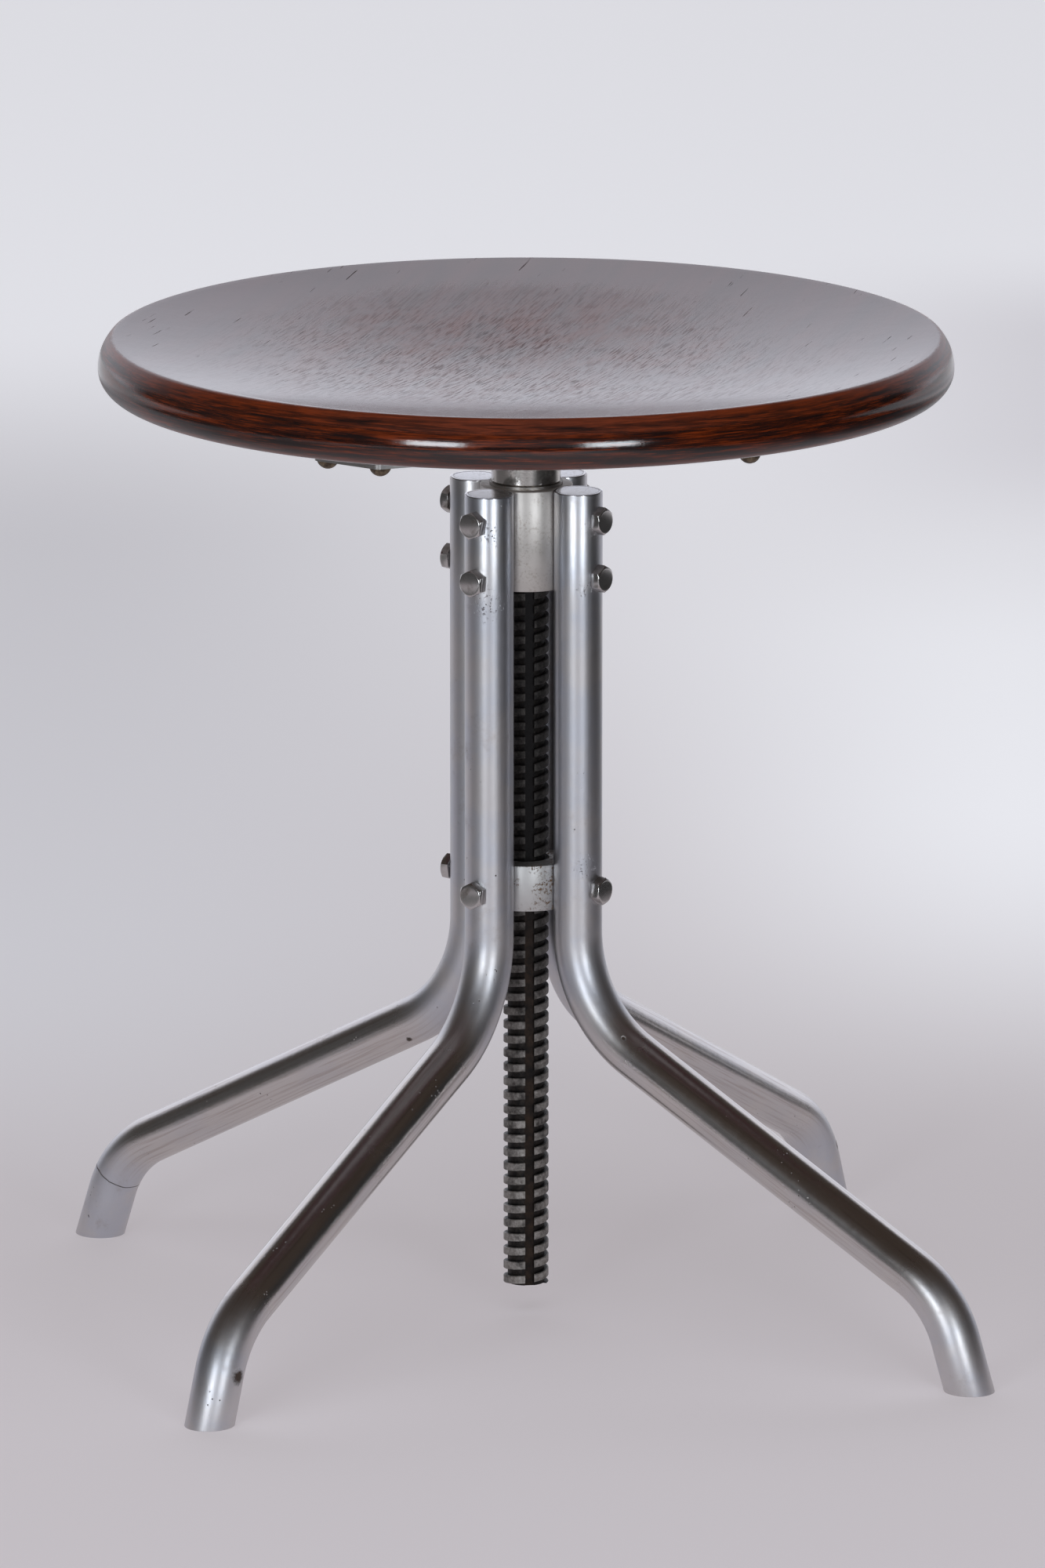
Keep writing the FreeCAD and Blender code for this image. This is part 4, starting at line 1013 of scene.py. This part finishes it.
class STOOL_OT_stage(bpy.types.Operator):
    """Set up the floor, the lights and the camera"""
    bl_idname = "stool.stage"
    bl_label = "Stage"

    def execute(self, context):
        s = context.scene.stool_stage
        self.floor(s)
        self.world(s)
        self.lamps()
        self.camera(s)
        context.scene.view_settings.view_transform = "Standard"
        return {"FINISHED"}

    def plan(self, f, s):
        """How far the coordinates lie to the camera's right, and how far away from it."""
        across = f.x * math.cos(s.azimuth) + f.y * math.sin(s.azimuth)
        away = f.y * math.cos(s.azimuth) - f.x * math.sin(s.azimuth)
        return across, away

    def floor(self, s):
        """A pale sweep, brighter further away, with a painted shadow to the stool's left and painted light
        to its right; only its reflections are dim beside and before the stool.
        """
        clear_selection()
        bpy.ops.mesh.primitive_circle_add(vertices=96, radius=s.floor_radius, fill_type="NGON")
        floor = named("floor")
        f = Finish("pale_floor")
        across, away = self.plan(f, s)
        # Painted light and shade on the floor: left is a painted shadow of the stool, a darker patch to its
        # left and behind it; right is painted light, a brighter patch to its right; corner is a darker
        # patch further back on the right.
        left = across.smooth(0.10, -0.25) * away.smooth(0.1, 0.7) * away.smooth(2.1, 1.5)
        right = across.smooth(-0.02, 0.25) * away.smooth(0.25, 0.95) * away.smooth(1.75, 1.25)
        corner = across.smooth(0.08, 0.34) * away.smooth(1.50, 1.80) * away.smooth(2.35, 2.05)
        before = away.smooth(-0.45, -0.90)
        unseen = 1.0 - f.camera_ray()
        beside = away.smooth(1.3, 0.7) * unseen
        near_left = across.smooth(-0.34, -0.60) * across.smooth(-1.05, -0.80) * away.smooth(0.12, -0.05)
        tone = f.blend(away.smooth(0.0, 2.3), (0.472, 0.440, 0.458), (0.790, 0.795, 0.835))
        for mask, colour in ((left, (0.550, 0.543, 0.575)), (right, (0.790, 0.795, 0.830)),
                             (corner, (0.640, 0.630, 0.670)), (before, (0.60, 0.59, 0.61)),
                             (across.smooth(0.36, 0.72) * beside, grey(0.03)),
                             (across.smooth(-1.15, -1.60) * beside, grey(0.08)),
                             (near_left * unseen, grey(0.16)),
                             (away.smooth(-1.4, -2.0) * unseen, grey(0.05))):
            tone = f.blend(mask, tone, colour)
        f.set(colour=tone, rough=0.85, specular=0.1, glow=tone, glow_strength=0.68)
        # Seen from below, the floor is clear.
        below = f.add("ShaderNodeNewGeometry", {}, {}).outputs["Backfacing"]
        clear = f.add("ShaderNodeBsdfTransparent", {}, {}).outputs[0]
        mix = f.add("ShaderNodeMixShader", {}, {0: below, 1: f.shader.outputs[0], 2: clear})
        f.feed(f.tree.nodes["Material Output"].inputs["Surface"], mix.outputs[0])
        paint(floor, f.material)

    def world(self, s):
        """What the stool mirrors: a pale wall behind it, brighter higher up, and a dim room round the rest.

        The camera itself sees one pale tone.
        """
        world = bpy.data.worlds.new("studio")
        bpy.context.scene.world = world
        world.use_nodes = True
        f = Finish.of_tree(world.node_tree, "Generated")
        across, away = self.plan(f, s)
        ceiling = (0.054, 0.041, 0.033)
        wall = f.blend(f.z.smooth(0.10, 0.24), (0.97, 0.99, 1.09), (0.86, 0.88, 0.98))
        wall = f.blend(across.smooth(0.03, -0.07) * 0.5, wall, (1.05, 1.07, 1.18))
        wall = f.blend(f.z.smooth(0.40, 0.50), wall, (1.15, 1.17, 1.27))
        wall = f.blend(f.z.smooth(0.62, 0.74), wall, ceiling)
        room = f.blend(across.smooth(0.2, -0.6), grey(0.03), grey(0.08))
        room = f.blend(away.smooth(-0.90, -0.97), room, (0.30, 0.30, 0.32))
        room = f.blend(f.z.smooth(0.25, 0.50), room, ceiling)
        tone = f.blend(away.smooth(0.50, 0.78), room, wall)
        tone = f.blend(f.camera_ray(), tone, (0.700, 0.705, 0.745))
        background = world.node_tree.nodes["Background"]
        f.feed(background.inputs["Color"], tone)
        f.feed(background.inputs["Strength"], 1.0)

    def lamps(self):
        """Two low softboxes in front and a broad one overhead."""
        aim = Vector((0.0, 0.0, 0.3))
        daylight = (0.88, 0.94, 1.0)
        for name, azimuth, height, distance, size, power in (
                ("softbox_left", -33.3, 0.53, 2.5, (0.62, 0.46), 12.4),
                ("softbox_right", 12.3, 0.53, 2.5, (0.56, 0.46), 11.2),
                ("overhead", -20.0, 2.6, 0.9, (2.6, 2.6), 24.0)):
            a = math.radians(azimuth)
            at = Vector((math.sin(a) * distance, -math.cos(a) * distance, height))
            bpy.ops.object.light_add(type="AREA", location=at)
            lamp = bpy.context.object
            lamp.name = name
            lamp.rotation_euler = (at - aim).to_track_quat("Z", "Y").to_euler()
            lamp.data.shape = "RECTANGLE"
            lamp.data.size, lamp.data.size_y = size
            lamp.data.energy = power
            lamp.data.color = daylight
            lamp.visible_camera = False
            lamp.visible_glossy = name != "overhead"

    def camera(self, s):
        at = (s.distance * math.sin(s.azimuth), -s.distance * math.cos(s.azimuth), s.height)
        bpy.ops.object.camera_add(location=at)
        camera = bpy.context.object
        camera.name = "camera"
        camera.rotation_euler = (math.pi / 2 - s.tilt, 0.0, s.azimuth + s.swing)
        camera.data.sensor_width = 36.0
        camera.data.lens = s.focal
        camera.data.clip_end = 100.0
        bpy.context.scene.camera = camera


class STOOL_PT_panel(bpy.types.Panel):
    """The stool's pieces in the order they are made"""
    bl_label = "Piano Stool"
    bl_idname = "STOOL_PT_panel"
    bl_space_type = "VIEW_3D"
    bl_region_type = "UI"
    bl_category = "Stool"

    def draw(self, context):
        for operator in OPERATORS:
            self.layout.operator(operator.bl_idname)


GROUPS = (("stool_stand", StoolStandSizes), ("stool_screw", StoolScrewSizes),
          ("stool_seat", StoolSeatSizes), ("stool_stage", StoolStageSizes))
OPERATORS = (STOOL_OT_legs, STOOL_OT_blocks, STOOL_OT_bolts, STOOL_OT_spindle, STOOL_OT_carrier,
             STOOL_OT_seat, STOOL_OT_stage)


def register():
    for name, group in GROUPS:
        bpy.utils.register_class(group)
        setattr(bpy.types.Scene, name, PointerProperty(type=group))
    for operator in OPERATORS:
        bpy.utils.register_class(operator)
    bpy.utils.register_class(STOOL_PT_panel)


def unregister():
    bpy.utils.unregister_class(STOOL_PT_panel)
    for operator in reversed(OPERATORS):
        bpy.utils.unregister_class(operator)
    for name, group in reversed(GROUPS):
        delattr(bpy.types.Scene, name)
        bpy.utils.unregister_class(group)


def main():
    register()
    clear_selection()
    bpy.ops.stool.legs()
    bpy.ops.stool.blocks()
    bpy.ops.stool.bolts()
    bpy.ops.stool.spindle()
    bpy.ops.stool.carrier()
    bpy.ops.stool.seat()
    bpy.ops.stool.stage()
    clear_selection()


if __name__ == "__main__":
    main()
